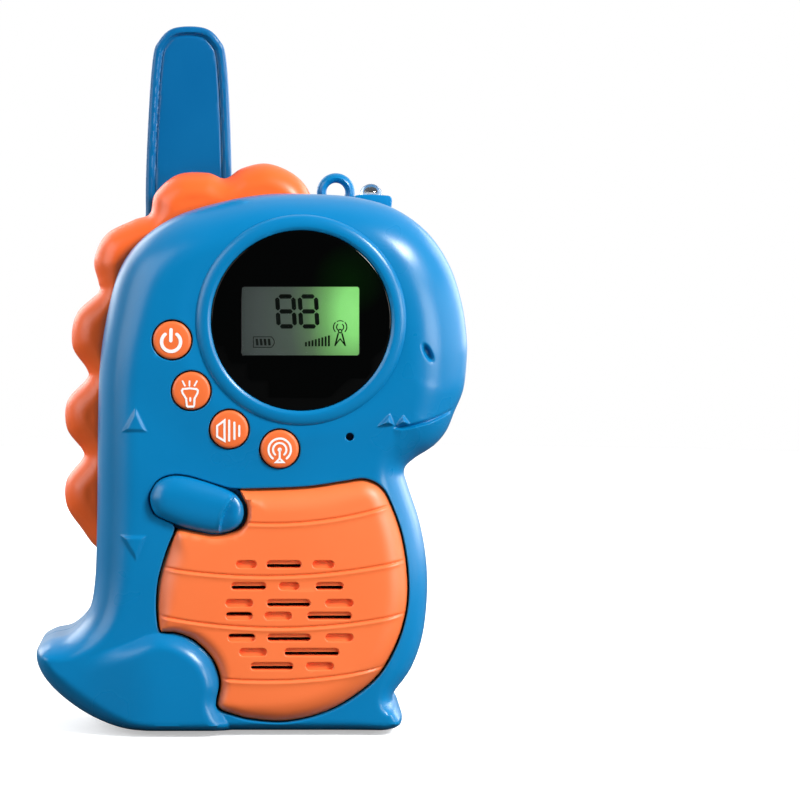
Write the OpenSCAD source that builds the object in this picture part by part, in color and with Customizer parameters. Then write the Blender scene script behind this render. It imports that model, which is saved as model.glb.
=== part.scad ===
// Toy walkie talkie in the shape of a standing dinosaur.
// The front faces -Y, the sole rests on z = 0, and the origin lies on the sole of the front shell.

/* [Case] */
// Depth of the front shell, from the origin plane to its flat face
front_depth = 17; // [16.5:0.5:17.5]
// Depth of the rear shell, from the origin plane to its flat back
rear_depth = 17; // [17:0.5:18]
// Wall thickness of the mouldings
wall = 2; // [1.8:0.1:2.2]
// Thickness of the orange spike crest
crest_thick = 12; // [11:0.5:12]
// Height of the antenna tip above the sole
antenna_top = 151.5; // [146:0.5:156]

/* [Display] */
// Radius of the round display window
lens_r = 18.9; // [18:0.1:19.2]
// Width of the liquid crystal panel
lcd_w = 30; // [28:0.5:31]
// Height of the liquid crystal panel
lcd_h = 20; // [19:0.5:21]

/* [Controls] */
// Radius of a round front button
button_r = 4.05; // [3.8:0.05:4.1]
// Gap round each button cap
button_gap = 0.2; // [0.2:0.05:0.3]
// Gap round the arm shaped talk button
talk_gap = 0.35; // [0.3:0.05:0.4]
// Length of a side key
key_len = 12; // [10:0.5:12]

/* [Sound] */
// Radius of the loudspeaker
speaker_r = 14; // [13:0.5:14.5]
// Radius of the microphone hole
mic_hole_r = 0.85; // [0.7:0.05:1]

/* [Power] */
// Radius of one AAA cell
cell_r = 5.25; // [5:0.05:5.25]
// Length of one AAA cell without its nub
cell_len = 43.5; // [43:0.1:43.5]

/* [Fixings] */
// Radius of the hole in the lanyard loop
loop_hole_r = 2.05; // [1.8:0.05:2.2]
// Radius of the belt clip's pin
pin_r = 1; // [0.9:0.05:1]
// Radial play between the pin and the clip
pin_play = 0.06; // [0.04:0.01:0.08]

/* [Hidden] */

blue = [0.03, 0.42, 0.72];
deep_blue = [0.03, 0.34, 0.62];
orange = [0.96, 0.42, 0.16];
steel = [0.75, 0.76, 0.78];
brass = [0.80, 0.62, 0.28];
board_green = [0.05, 0.35, 0.20];
black = [0.05, 0.05, 0.06];

parting_y = 2;      // plane where the two shells meet
side_y = 7;         // half depth of the straight part of the side walls
arc_rings = 5;      // rings of points round each soft edge
curve_steps = 2;    // points per control point of an outline
round_fn = 48;      // sides asked for on round features
boss_fn = 20;       // sides of the screw bosses inside the mouldings
eps = 0.01;

// Outlines are lists of [x, z, edge radius] control points, anticlockwise from the sole.
body_points = [
    [-22, 0, 3], [-8, 0, 3], [8, 0, 3], [20, 0, 3], [28, 0, 2.5],
    [31.6, 1.2, 2], [32.3, 3.2, 2], [31.2, 5.6, 2.6], [30.4, 7.6, 4],
    [34.2, 13, 6], [36.7, 20, 7], [37.7, 29, 7], [37.4, 37, 7], [35.9, 45, 7], [33.6, 52, 7],
    [32.7, 55.8, 7], [34.8, 58.2, 7], [38.8, 60.8, 8], [41.6, 64, 9], [43.4, 68.2, 10],
    [45.3, 73, 12], [46, 79, 13], [46, 84, 13.5], [44.9, 91.5, 14], [42.2, 99.6, 14],
    [37.4, 106.6, 13], [30.4, 111.6, 12], [22, 114, 11], [12, 114.7, 10], [3, 114.6, 10],
    [-6, 113.1, 10], [-16, 110, 10], [-23.5, 105, 10], [-28.2, 98.4, 10], [-31, 88, 9.5],
    [-32.5, 77, 9], [-32.9, 63, 9], [-33.1, 46, 9], [-33.6, 32, 8],
    [-35.2, 24.8, 7], [-39, 20.6, 5], [-43.4, 19.3, 3.6], [-46, 17.2, 2.8], [-45.4, 13, 3.8],
    [-42, 8.4, 5], [-36, 3.8, 5], [-29, 0.8, 4]
];

thigh_points = [
    [-22, 0, 3], [-12, 0, 3], [-6.4, 0, 1.6], [-4.9, 1.6, 1.4], [-5.2, 3.6, 1.6], [-7.2, 6, 3],
    [-6.9, 11, 6], [-8.6, 16, 6], [-13.2, 20.2, 6], [-19.4, 22, 6], [-25, 19.6, 6], [-28, 13, 6], [-27, 5, 5]
];

belly_points = [
    [-7.3, 6.2, 2], [-3.4, 4.2, 4], [0.4, 3.3, 5], [7, 2.9, 6], [14.2, 4.4, 6], [20.5, 7.4, 6],
    [26.8, 12.6, 6], [30.9, 19.7, 6], [32.9, 27, 6], [33.1, 34, 6], [32, 41.8, 6], [30, 48, 5],
    [27.6, 52.6, 4], [24, 54.5, 4], [19.5, 54, 4.5], [12, 52.9, 5], [3.6, 52.5, 5], [-5.2, 52.5, 4],
    [-11, 50.4, 4], [-15.6, 44.6, 5], [-17.9, 39.4, 6], [-19.7, 33, 6], [-20.1, 27, 4],
    [-19.5, 22.5, 1.6], [-15.7, 21.7, 2.4], [-11.9, 20, 4], [-8.3, 16.3, 4], [-6.7, 11.6, 3]
];

arm_points = [
    [-20.4, 47.4, 3], [-18.2, 46, 3], [-13.4, 44.2, 3.2], [-8, 43.2, 3.2], [-4.4, 43.7, 3],
    [-2.2, 45.4, 3], [-1.6, 47.7, 3], [-2.2, 50, 3], [-4.2, 51.8, 3], [-8, 53.4, 3.2],
    [-13.4, 55, 3.2], [-17, 55.2, 3], [-20, 53.8, 3], [-21.4, 50.6, 3]
];

crest_points = [
    [-29, 58, 1], [-28.8, 76, 1], [-27.6, 88, 1], [-24.4, 98.6, 1], [-18, 105, 1],
    [-6, 108.6, 1], [12.4, 111, 0.8], [12.4, 115.4, 2], [9, 119.2, 4], [3.4, 121.4, 4],
    [-2, 120.4, 4], [-5.7, 118.2, 3], [-9.6, 119.4, 4], [-16, 119, 4], [-20.8, 115, 4],
    [-22, 110.6, 3], [-25.6, 109.2, 4], [-31.6, 106, 4], [-34.1, 100.5, 4], [-33.2, 95.8, 3],
    [-33.2, 93.6, 3], [-38, 88.8, 4], [-38.9, 82, 4], [-35.8, 77, 3], [-35.8, 74.8, 3],
    [-40, 70, 4], [-40.1, 64, 4], [-36.8, 59.4, 3], [-36.8, 57.4, 3], [-40.2, 52.8, 4],
    [-40.2, 47.2, 4], [-37, 42.2, 3], [-33.6, 38, 1.2], [-29.4, 37.4, 0.8]
];

blade_points = [
    [-22.2, 100, 2], [-5.4, 100, 2], [-4.4, 112, 2.4], [-4.6, 128, 2.4], [-5.5, 144, 2.4],
    [-7, antenna_top - 3, 2.4], [-10.4, antenna_top - 0.3, 2.4], [-16.8, antenna_top - 0.3, 2.4],
    [-20.2, antenna_top - 3, 2.4], [-21.7, 144, 2.4], [-22.8, 128, 2.4], [-23.2, 112, 2.4]
];

lens_x = 10.4;
lens_z = 88;
lens_seat_r = 21.3;                  // outer radius of the soft ring round the window
lens_front = front_depth + 1;        // distance of the window's face in front of the origin

// The four round buttons lie on one circle about the window.
button_ring_r = 27.4;
button_first = 188.6;                // angle of the power button
button_pitch = 24;
function button_pos(i) = [
    lens_x + button_ring_r * cos(button_first + i * button_pitch),
    lens_z + button_ring_r * sin(button_first + i * button_pitch)
];
button_face = front_depth + 0.9;

key_z = [67, 40];                    // heights of the up key and the down key
key_y = 10.4;
key_face_x = -33.4;
key_w = 4.4;

talk_x = -11;
talk_z = 49.6;
talk_face = front_depth + 2.6;

board_front = 6;                     // distance of the board's face in front of the origin
board_t = 1.6;
switch_h = 3.5;
plunger_r = 1.6;

speaker_x = 7.8;
speaker_z = 26.4;
mic_x = 20.7;
mic_z = 63.5;

screw_places = [[-15.5, 95.5], [30.5, 95.5], [-21.2, 62], [31.4, 69.4], [-25, 10.5], [25.5, 6.2]];
boss_r = 3;

cell_x = [-10, 1, 12];
cell_y = 8.7;
cell_z0 = 16.2;
tray = [[-17.2, 2.2, 12.6], [19.2, 14.4, 63.4]];   // lowest and highest corner of the tray
tray_wall = 1.2;
door_gap = 0.3;
door_screw_z = 66;

clip_x = 3;
clip_pivot = [clip_x, 21.2, 97];

loop_x = 18.6;
loop_y = 14;
loop_z = 115.4;
loop_r = 4.2;
loop_t = 3;

led_x = 26;
led_y = 6;
led_r = 2.5;
led_top = 117.1;

// Closed Catmull-Rom curve through the control points, never below the sole.
function curve(p, steps) = [
    for (i = [0 : len(p) - 1], s = [0 : steps - 1])
        let (
            n = len(p), t = s / steps,
            a = p[(i + n - 1) % n], b = p[i], c = p[(i + 1) % n], d = p[(i + 2) % n],
            q = 0.5 * (2 * b + (c - a) * t + (2 * a - 5 * b + 4 * c - d) * t * t
                + (3 * b - 3 * c + d - a) * t * t * t)
        )
        [q[0], max(q[1], 0), q[2]]
];

// Inward direction at each point of an anticlockwise curve.
function inward(q, i) =
    let (n = len(q), a = q[(i + n - 1) % n], b = q[(i + 1) % n],
        dx = b[0] - a[0], dz = b[1] - a[1], l = norm([dx, dz]))
    [-dz / l, dx / l];

// One ring of an outline at depth y: skin is the wall already taken off, part runs from 0 to 1 over the edge.
function ring(q, part, skin, y) = [
    for (i = [0 : len(q) - 1])
        let (n = inward(q, i), w = min(skin, 0.5 * q[i][2]), d = w + part * (q[i][2] - w))
        [q[i][0] + n[0] * d, y, q[i][1] + n[1] * d]
];

// Points of an outline grown outwards by an amount, in its own plane.
function grown(q, by) = [
    for (i = [0 : len(q) - 1]) let (n = inward(q, i)) [q[i][0] - n[0] * by, q[i][1] - n[1] * by]
];

// Rings of a soft edge that runs from the straight side to the flat face.
function edge_rings(q, skin, y_side, y_face) = [
    for (k = [0 : arc_rings])
        let (a = 90 * k / arc_rings)
        ring(q, 1 - cos(a), skin, y_side + (y_face - y_side) * sin(a))
];

// An outline moved inwards, with its edge radius reduced to match.
function shrunk(q, by) = [
    for (i = [0 : len(q) - 1]) let (n = inward(q, i))
        [q[i][0] + n[0] * by, q[i][1] + n[1] * by, max(q[i][2] - by, 0.5)]
];

function reversed(list) = [for (i = [len(list) - 1 : -1 : 0]) list[i]];

// Closed skin over a stack of rings that all have the same number of points.
module skin(rings, flip) {
    n = len(rings[0]);
    m = len(rings);
    sides = [
        for (k = [0 : m - 2], i = [0 : n - 1])
            let (a = k * n + i, b = k * n + (i + 1) % n)
            flip ? [a, b, b + n, a + n] : [a, a + n, b + n, b]
    ];
    first = [for (i = [0 : n - 1]) i];
    last = [for (i = [0 : n - 1]) (m - 1) * n + i];
    caps = flip ? [reversed(first), last] : [first, reversed(last)];
    polyhedron(points = [for (r = rings) each r], faces = concat(sides, caps), convexity = 10);
}

// Bowl: a wall that follows the outline from its rim to its face.
module bowl(q, y_rim, y_side, y_face, y_inner) {
    outer = concat([ring(q, 0, 0, y_rim)], edge_rings(q, 0, y_side, y_face));
    inner = concat([ring(q, 0, wall, y_rim)], edge_rings(q, wall, y_side, y_inner));
    skin(concat(reversed(inner), outer), y_face > y_rim);
}

// Solid plug with a soft edge on its face.
module plug(q, y_back, y_side, y_face) {
    skin(concat([ring(q, 0, 0, y_back)], edge_rings(q, 0, y_side, y_face)), y_face > y_back);
}

// Solid pillow with soft edges on both faces.
module pillow(q, y0, y1, edge) {
    skin(concat(reversed(edge_rings(q, 0, y0 + edge, y0)), edge_rings(q, 0, y1 - edge, y1)), true);
}

// Flat prism between two depths.
module prism(points, y0, y1) {
    translate([0, y1, 0]) rotate([90, 0, 0]) linear_extrude(y1 - y0) polygon(points);
}

// One closed skin at its own size, for a moulding whose soft skin meets many cuts.
module moulding() {
    resize([0, 0, 0]) children();
}

module rod_y(x, z, r, y0, y1, sides = round_fn) {
    translate([x, y1, z]) rotate([90, 0, 0]) cylinder(r = r, h = y1 - y0, $fn = sides);
}

module rod_x(y, z, r, x0, x1) {
    translate([x0, y, z]) rotate([0, 90, 0]) cylinder(r = r, h = x1 - x0, $fn = round_fn);
}

module block(low, high) {
    translate(low) cube(high - low);
}

// Bar with rounded ends and corners along Y, between two depths.
module slab(x0, x1, z0, z1, r, y0, y1) {
    translate([0, y1, 0]) rotate([90, 0, 0]) linear_extrude(y1 - y0) {
        translate([x0 + r, z0]) square([x1 - x0 - 2 * r, z1 - z0]);
        translate([x0, z0 + r]) square([x1 - x0, z1 - z0 - 2 * r]);
        for (x = [x0 + r, x1 - r], z = [z0 + r, z1 - r]) translate([x, z]) circle(r = r, $fn = round_fn);
    }
}

// Round wire swept along points; across is a direction that the path never takes.
function unit(v) = v / norm(v);
module wire(path, r, sides, across) {
    n = len(path);
    rings = [
        for (i = [0 : n - 1])
            let (
                t = unit(path[min(i + 1, n - 1)] - path[max(i - 1, 0)]),
                u = unit(cross(t, across)), v = cross(t, u)
            )
            [for (k = [0 : sides - 1]) path[i] + r * (cos(360 * k / sides) * u + sin(360 * k / sides) * v)]
    ];
    skin(rings, true);
}

// Coil of wire about Z whose radius runs from r0 to r1.
module coil(r0, r1, height, turns, wire_r, per_turn, sides) {
    count = turns * per_turn;
    wire([
        for (i = [0 : count])
            let (f = i / count, r = r0 + (r1 - r0) * f)
            [r * cos(360 * turns * f), r * sin(360 * turns * f), height * f]
    ], wire_r, sides, [0, 0, 1]);
}

body_curve = curve(body_points, curve_steps);
thigh_curve = curve(thigh_points, curve_steps);
belly_curve = curve(belly_points, curve_steps);
arm_curve = curve(arm_points, curve_steps);
crest_curve = curve(crest_points, curve_steps);
blade_curve = curve(blade_points, curve_steps);

tongue_t = 1.5;   // thickness of the crest's tongue between the shells

module crest_slot() {
    prism(grown(crest_curve, 0.15), parting_y - tongue_t / 2 - 0.1, parting_y + tongue_t / 2 + 0.1);
}

module up_mark(x, z, up) {
    s = up ? 1 : -1;
    prism([[x - 2.3, z - 2.2 * s], [x + 2.3, z - 2.2 * s], [x, z + 2.4 * s]], -front_depth - 0.1, -front_depth + 1.6);
}

// The lower mouth line, a shallow arc of groove.
mouth_r = 26;
module mouth_groove() {
    intersection() {
        translate([31.2, 0, 65.3 + mouth_r]) rotate([90, 0, 0]) difference() {
            cylinder(r = mouth_r + 0.35, h = 30, $fn = 96);
            translate([0, 0, -1]) cylinder(r = mouth_r - 0.35, h = 32, $fn = 96);
        }
        block([30, -front_depth - 1, 60], [48, -front_depth + 0.8, 70]);
    }
}

module front_shell() {
    color(blue) moulding() difference() {
        union() {
            difference() {
                bowl(body_curve, parting_y, -side_y, -front_depth, wall - front_depth);
                plug(shrunk(thigh_curve, 1), -side_y - 2.5, -12, -front_depth - 1);
            }
            bowl(thigh_curve, -side_y - 2, -12, -front_depth - 2.4, wall - front_depth - 2.4);
            rod_y(lens_x, lens_z, lens_seat_r, -lens_front, -front_depth + 3);
            intersection() {
                union() for (p = screw_places) rod_y(p[0], p[1], boss_r, -front_depth, parting_y - 0.3, boss_fn);
                plug(shrunk(body_curve, 0.6), parting_y, -side_y, -front_depth + 0.6);
            }
            up_mark(-24.6, 67, true);
            up_mark(-25, 40, false);
        }
        rod_y(lens_x, lens_z, lens_r + 0.15, -lens_front - 1, -lens_front + 1.8);
        slab(lens_x - lcd_w / 2 + 1, lens_x + lcd_w / 2 - 1, lens_z - lcd_h / 2 + 1, lens_z + lcd_h / 2 - 1, 1,
            -front_depth - 1, -10);
        for (i = [0 : 3]) rod_y(button_pos(i)[0], button_pos(i)[1], button_r + button_gap, -20, -12);
        for (p = screw_places) rod_y(p[0], p[1], 1.25, -11, parting_y + 1, boss_fn);
        rod_y(mic_x, mic_z, mic_hole_r, -front_depth - 1, -12);
        translate([37.2, -front_depth - 0.9, 81.2]) sphere(r = 2, $fn = 24);
        mouth_groove();
        prism(grown(belly_curve, 0.3), -25, -side_y - 1.9);
        prism(grown(arm_curve, talk_gap), -25, -side_y - 1.9);
        crest_slot();
    }
}

module key_slot(z, grow) {
    translate([-38, 0, 0]) rotate([90, 0, 90]) linear_extrude(9.4) {
        translate([key_y - key_w / 2 - grow, z - key_len / 2 + key_w / 2]) square([key_w + 2 * grow, key_len - key_w]);
        for (s = [-1, 1]) translate([key_y, z + s * (key_len - key_w) / 2]) circle(r = key_w / 2 + grow, $fn = round_fn);
    }
}

module door_outline(grow, y0, y1) {
    slab(tray[0][0] + 0.4 - grow, tray[1][0] - 0.4 + grow, tray[0][2] + 0.4 - grow, tray[1][2] - 0.4 + grow, 2, y0, y1);
}

module door_tab(grow, y0, y1) {
    slab(clip_x - 7 - grow, clip_x + 3 + grow, tray[1][2] - 4, door_screw_z + 3.4 + grow, 2, y0, y1);
}

module rear_shell() {
    inner_y = rear_depth - wall;
    color(blue) moulding() difference() {
        union() {
            bowl(body_curve, parting_y, side_y + 2, rear_depth, inner_y);
            intersection() {
                union() for (p = screw_places) rod_y(p[0], p[1], boss_r + 0.4, parting_y + 0.1, rear_depth, boss_fn);
                plug(shrunk(body_curve, 0.6), parting_y, side_y + 2, rear_depth - 0.6);
            }
            block([clip_x - 10, inner_y - 2.6, tray[1][2] + 0.3], [clip_x + 6, inner_y + 0.5, door_screw_z + 6]);
        }
        for (p = screw_places) {
            rod_y(p[0], p[1], 1.5, parting_y - 1, rear_depth + 1, boss_fn);
            rod_y(p[0], p[1], 2.6, 8, rear_depth + 1, boss_fn);
        }
        door_outline(door_gap, 14.6, rear_depth + 1);
        door_tab(door_gap, 14.6, rear_depth + 1);
        rod_y(clip_x - 2, door_screw_z, 1.25, 10, 16);
        for (z = key_z) key_slot(z, 0.3);
        prism(grown(blade_curve, 0.15), 8.9, 16.1);
        block([loop_x - 2.6, loop_y - loop_t / 2 - 0.1, 106], [loop_x + 2.6, loop_y + loop_t / 2 + 0.1, 116]);
        rod_y(loop_x, loop_z, loop_r + 0.15, loop_y - loop_t / 2 - 0.1, loop_y + loop_t / 2 + 0.1);
        translate([led_x, led_y, 105]) cylinder(r = led_r + 0.5, h = 12, $fn = round_fn);
        crest_slot();
    }
}

module spike_crest() {
    color(orange) moulding() {
        difference() {
            pillow(crest_curve, parting_y - crest_thick / 2, parting_y + crest_thick / 2, 4);
            prism(grown(body_curve, 0.1), -12, 16);
            prism(grown(blade_curve, 0.3), 8.6, 16.4);
        }
        intersection() {
            prism(grown(crest_curve, -0.2), parting_y - tongue_t / 2, parting_y + tongue_t / 2);
            prism(grown(body_curve, 0.3), -12, 16);
        }
    }
}

module antenna_blade() {
    color(deep_blue) difference() {
        pillow(blade_curve, 9, 16, 2);
        translate([-13.8, 12.5, 99]) cylinder(r = 2, h = 44, $fn = round_fn);
        slab(-19.4, -8.2, 117, antenna_top - 4, 3, 8, 9.6);
    }
}

module antenna_coil() {
    color(brass) translate([-13.8, 12.5, 100.5]) {
        coil(1.3, 1.3, 30, 8, 0.35, 8, 5);
    }
}

module lanyard_loop() {
    color(blue) difference() {
        union() {
            rod_y(loop_x, loop_z, loop_r, loop_y - loop_t / 2, loop_y + loop_t / 2);
            block([loop_x - 2.4, loop_y - loop_t / 2, 107], [loop_x + 2.4, loop_y + loop_t / 2, loop_z - 2]);
        }
        rod_y(loop_x, loop_z, loop_hole_r, loop_y - loop_t, loop_y + loop_t);
    }
}

module torch_led() {
    color([0.9, 0.95, 1, 0.6]) translate([led_x, led_y, 0]) rotate_extrude($fn = round_fn) union() {
        translate([0, 107.5]) square([2.9, 1]);
        translate([0, 108]) square([led_r, led_top - led_r - 108]);
        intersection() {
            translate([0, led_top - led_r]) circle(r = led_r, $fn = round_fn);
            translate([0, led_top - led_r]) square(led_r + 1);
        }
    }
}

module torch_bracket() {
    color(blue) difference() {
        prism([[22.6, 112.6], [30.2, 110.4], [30.4, 113.8], [29.8, 114.3], [22.8, 114.5]], 2.6, 9.4);
        prism(grown(body_curve, 0.02), -12, 16);
        translate([led_x, led_y, 100]) cylinder(r = led_r + 0.1, h = 20, $fn = round_fn);
    }
}

module display_window() {
    color(black) rod_y(lens_x, lens_z, lens_r, -lens_front, -lens_front + 1.7);
}

module lcd_panel() {
    color([0.55, 0.62, 0.5])
        block([lens_x - lcd_w / 2 + 1.5, -lens_front + 1.9, lens_z - lcd_h / 2 + 1.5],
            [lens_x + lcd_w / 2 - 1.5, -lens_front + 4.3, lens_z + lcd_h / 2 - 1.5]);
}

module lcd_backlight() {
    color([0.9, 0.95, 0.9])
        block([lens_x - lcd_w / 2, -lens_front + 4.4, lens_z - lcd_h / 2],
            [lens_x + lcd_w / 2, -board_front - 0.1, lens_z + lcd_h / 2]);
}

// Round cap with a soft edge, a captive flange and a stem that bears on its switch.
module round_button(i) {
    p = button_pos(i);
    color(orange) translate([p[0], 0, p[1]]) rotate([90, 0, 0]) rotate_extrude($fn = round_fn) polygon(concat(
        [[0, button_stem_end], [1.5, button_stem_end], [1.5, front_depth - wall - 1.4],
            [5, front_depth - wall - 1.4], [5, front_depth - wall - 0.3], [button_r, front_depth - wall - 0.3]],
        [for (a = [0 : 15 : 90]) [button_r - 0.6 + 0.6 * cos(a), button_face - 0.6 + 0.6 * sin(a)]],
        [[0, button_face]]));
}

button_stem_end = board_front + switch_h + 1.4;

module plunger_y(x, z) {
    color(black) rod_y(x, z, plunger_r, -button_stem_end, -board_front - 2);
}

module switch_y(x, z) {
    difference() {
        block([x - 3, -board_front - switch_h, z - 3], [x + 3, -board_front, z + 3]);
        rod_y(x, z, plunger_r + 0.1, -board_front - switch_h - 1, -board_front - 0.6);
    }
}

module front_switches() {
    color(steel) {
        for (i = [0 : 3]) switch_y(button_pos(i)[0], button_pos(i)[1]);
        switch_y(talk_x, talk_z);
    }
}

module talk_button() {
    color(blue) {
        plug(arm_curve, -14.2, -front_depth - 0.2, -talk_face);
        prism(grown(arm_curve, 1.1), -14.4, -13.2);
        rod_y(talk_x, talk_z, 1.8, -13.3, -button_stem_end);
    }
}

// Side key: a rounded bar that slides along X, with an end stop above and below its slot.
module side_key(z) {
    color(orange) {
        translate([key_face_x, 0, 0]) rotate([90, 0, 90]) linear_extrude(4) {
            translate([key_y - key_w / 2, z - key_len / 2 + key_w / 2]) square([key_w, key_len - key_w]);
            for (s = [-1, 1]) translate([key_y, z + s * (key_len - key_w) / 2]) circle(r = key_w / 2, $fn = round_fn);
        }
        block([key_face_x + 3.8, key_y - 1.8, z - key_len / 2 - 1.4], [key_face_x + 4.6, key_y + 0.6, z + key_len / 2 + 1.4]);
    }
}

side_board_x = -25.6;

module plunger_x(z) {
    color(black) rod_x(key_y, z, 1, key_face_x + 4.6, side_board_x - 1.4);
}

module side_switches() {
    color(steel) for (z = key_z) difference() {
        block([side_board_x - 2.2, key_y - 2.2, z - 3], [side_board_x, key_y + 2.2, z + 3]);
        rod_x(key_y, z, 1.1, side_board_x - 3, side_board_x - 0.5);
    }
}

module side_board() {
    color(board_green)
        block([side_board_x, key_y - 3, key_z[1] - 6], [side_board_x + 1, key_y + 2.4, key_z[0] + 6]);
}

// Slots of the grille: [centre x, centre z, length, 1 where it goes right through].
slot_h = 1.6;
grille = [
    [-1.1, 36.7, 4.4, 0], [6.8, 36.7, 7.4, 1], [15.1, 36.7, 4.6, 0],
    [-0.6, 32.1, 7.4, 1], [7.9, 32.1, 4.3, 0], [16.4, 32.1, 5.9, 1],
    [-2.6, 28.5, 5.8, 0], [7.8, 28.5, 9.2, 1], [18.5, 28.5, 5.9, 0],
    [-2.6, 25.8, 5.7, 1], [5.6, 25.8, 5.8, 0], [16.4, 25.8, 9.4, 1],
    [-2.1, 21.2, 5.8, 1], [7.9, 21.2, 9.2, 1], [18.5, 21.2, 5.9, 0],
    [0.3, 18.1, 5.8, 0], [12.7, 18.1, 11.6, 1],
    [4.3, 15.1, 9, 1], [14.4, 15.1, 5.9, 0]
];

belly_face = front_depth + 1.4;

module belly_panel() {
    color(orange) difference() {
        bowl(belly_curve, -12.4, -14.6, -belly_face, wall - belly_face);
        for (s = grille)
            slab(s[0] - s[2] / 2, s[0] + s[2] / 2, s[1] - slot_h / 2, s[1] + slot_h / 2, slot_h / 2 - eps,
                -belly_face - 1, s[3] == 1 ? -11 : -belly_face + 0.9);
        prism(grown(arm_curve, talk_gap), -25, -9);
        prism(grown(arm_curve, 1.6), -15.4, -9);
    }
}

module speaker_cloth() {
    color(black) rod_y(speaker_x, speaker_z, speaker_r, -belly_face + wall + 0.1, -belly_face + wall + 0.5);
}

// Depths of the loudspeaker, measured towards the back from its front rim.
rim_y = -belly_face + wall + 0.6;

module around_speaker() {
    translate([speaker_x, rim_y, speaker_z]) rotate([-90, 0, 0]) rotate_extrude($fn = round_fn) children();
}

module speaker_frame() {
    color(steel) around_speaker()
        polygon([[speaker_r - 1.6, 0], [speaker_r, 0], [speaker_r, 1.2], [speaker_r - 1, 1.2], [speaker_r - 3, 4.6],
            [3, 4.6], [3, 3.9], [speaker_r - 3.4, 3.9], [speaker_r - 1.6, 1]]);
}

module speaker_cone() {
    color(black) around_speaker()
        polygon([[0, 2], [3, 2.6], [speaker_r - 3.4, 0.6], [speaker_r - 1.8, 0.2], [speaker_r - 1.8, 0.6],
            [speaker_r - 3.6, 1.2], [3.2, 3.1], [2.8, 3.4], [2.8, 5], [2.3, 5], [2.3, 3], [0, 2.5]]);
}

module speaker_magnet() {
    color(steel) around_speaker() {
        translate([3.2, 4.7]) square([4, 3]);
        translate([0, 5.2]) square([1.9, 3.3]);
        translate([0, 7.7]) square([7.2, 0.8]);
    }
}

module microphone() {
    color(steel) rod_y(mic_x, mic_z, 3, -front_depth + wall + 0.1, -front_depth + wall + 2.9);
}

module main_board() {
    y1 = -board_front + board_t;
    color(board_green) difference() {
        union() {
            slab(-22.2, 29, 60, 102, 3, -board_front, y1);
            slab(-18, 12, 44.6, 62, 2, -board_front, y1);
        }
        for (p = screw_places) rod_y(p[0], p[1], boss_r + 0.5, -10, 0);
    }
}

module rf_shield() {
    color(steel) difference() {
        block([-11.4, -board_front + board_t, 84], [5.6, -board_front + board_t + 2.4, 100]);
        block([-11, -board_front + board_t - 1, 84.4], [5.2, -board_front + board_t + 2, 99.6]);
    }
}

module board_chips() {
    y = -board_front + board_t;
    color(black) {
        block([-9, y, 88], [-1, y + 1.2, 96]);
        block([9, y, 80], [18, y + 1.4, 89]);
        block([9, y, 66], [14, y + 1.2, 72]);
        block([21, y, 84], [24, y + 2, 95]);
    }
}

// Two insulated leads side by side, through hand chosen points.
module leads(path, step) {
    color([0.7, 0.1, 0.1]) wire(path, 0.5, 6, [1, 0, 0]);
    color(black) wire([for (p = path) p + step], 0.5, 6, [1, 0, 0]);
}

module speaker_leads() {
    leads([[13.8, -3.2, 34], [14, -1.6, 38], [13, -1, 43], [10, -1.4, 48], [6, -2.4, 53], [4.4, -2.8, 56], [4, -3.6, 57], [4, -4.35, 57]],
        [2.2, 0, 0]);
}

module battery_leads() {
    leads([[-12, -0.6, 63.9], [-12, -0.6, 66], [-10, -1.6, 70], [-8, -2.7, 73], [-8, -3.5, 74], [-8, -4.35, 74]], [2.2, 0, 0]);
}

module battery_tray() {
    color(black) difference() {
        block(tray[0], tray[1]);
        block(tray[0] + [tray_wall, tray_wall, tray_wall], tray[1] + [-tray_wall, 1, -tray_wall]);
    }
}

module battery_cells() {
    color([0.15, 0.15, 0.17]) for (i = [0 : 2]) {
        up = i != 1;
        translate([cell_x[i], cell_y, cell_z0 + (up ? 0 : 0.1)]) {
            cylinder(r = cell_r, h = cell_len, $fn = round_fn);
            translate([0, 0, up ? cell_len - eps : -1]) cylinder(r = 1.9, h = 1 + eps, $fn = round_fn);
        }
    }
}

module battery_springs() {
    low = tray[0][2] + tray_wall + 0.55;
    high = tray[1][2] - tray_wall - 0.55;
    color(steel) for (i = [0 : 2])
        translate([cell_x[i], cell_y, i == 1 ? high : low]) mirror([0, 0, i == 1 ? 1 : 0])
            coil(3.4, 2, 1.5, 2.5, 0.25, 10, 5);
}

module battery_contacts() {
    low = tray[0][2] + tray_wall;
    high = tray[1][2] - tray_wall;
    color(steel) {
        block([-14.4, cell_y - 4, low], [-5.6, cell_y + 4, low + 0.3]);
        block([-3.4, cell_y - 4, low], [16.4, cell_y + 4, low + 0.3]);
        block([-14.4, cell_y - 4, high - 0.3], [5.4, cell_y + 4, high]);
        block([7.6, cell_y - 4, high - 0.3], [16.4, cell_y + 4, high]);
    }
}

module battery_door() {
    color(blue) difference() {
        union() {
            door_outline(0, 14.9, rear_depth);
            door_tab(0, 14.9, rear_depth);
        }
        rod_y(clip_x - 2, door_screw_z, 1.2, 10, 20);
        rod_y(clip_x - 2, door_screw_z, 2.4, 15.9, 20);
        for (z = [18 : 3 : 30]) slab(clip_x - 8, clip_x + 4, z, z + 1, 0.45, rear_depth - 0.6, rear_depth + 1);
    }
}

module cross_slot(x, z, y0, y1) {
    for (s = [[1.3, 0.3], [0.3, 1.3]]) block([x - s[0], y0, z - s[1]], [x + s[0], y1, z + s[1]]);
}

module door_screw() {
    x = clip_x - 2;
    color(steel) difference() {
        union() {
            rod_y(x, door_screw_z, 1.15, 10.6, 16.2);
            rod_y(x, door_screw_z, 2.25, 16, rear_depth - 0.05);
        }
        cross_slot(x, door_screw_z, rear_depth - 0.6, rear_depth + 1);
    }
}

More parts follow.
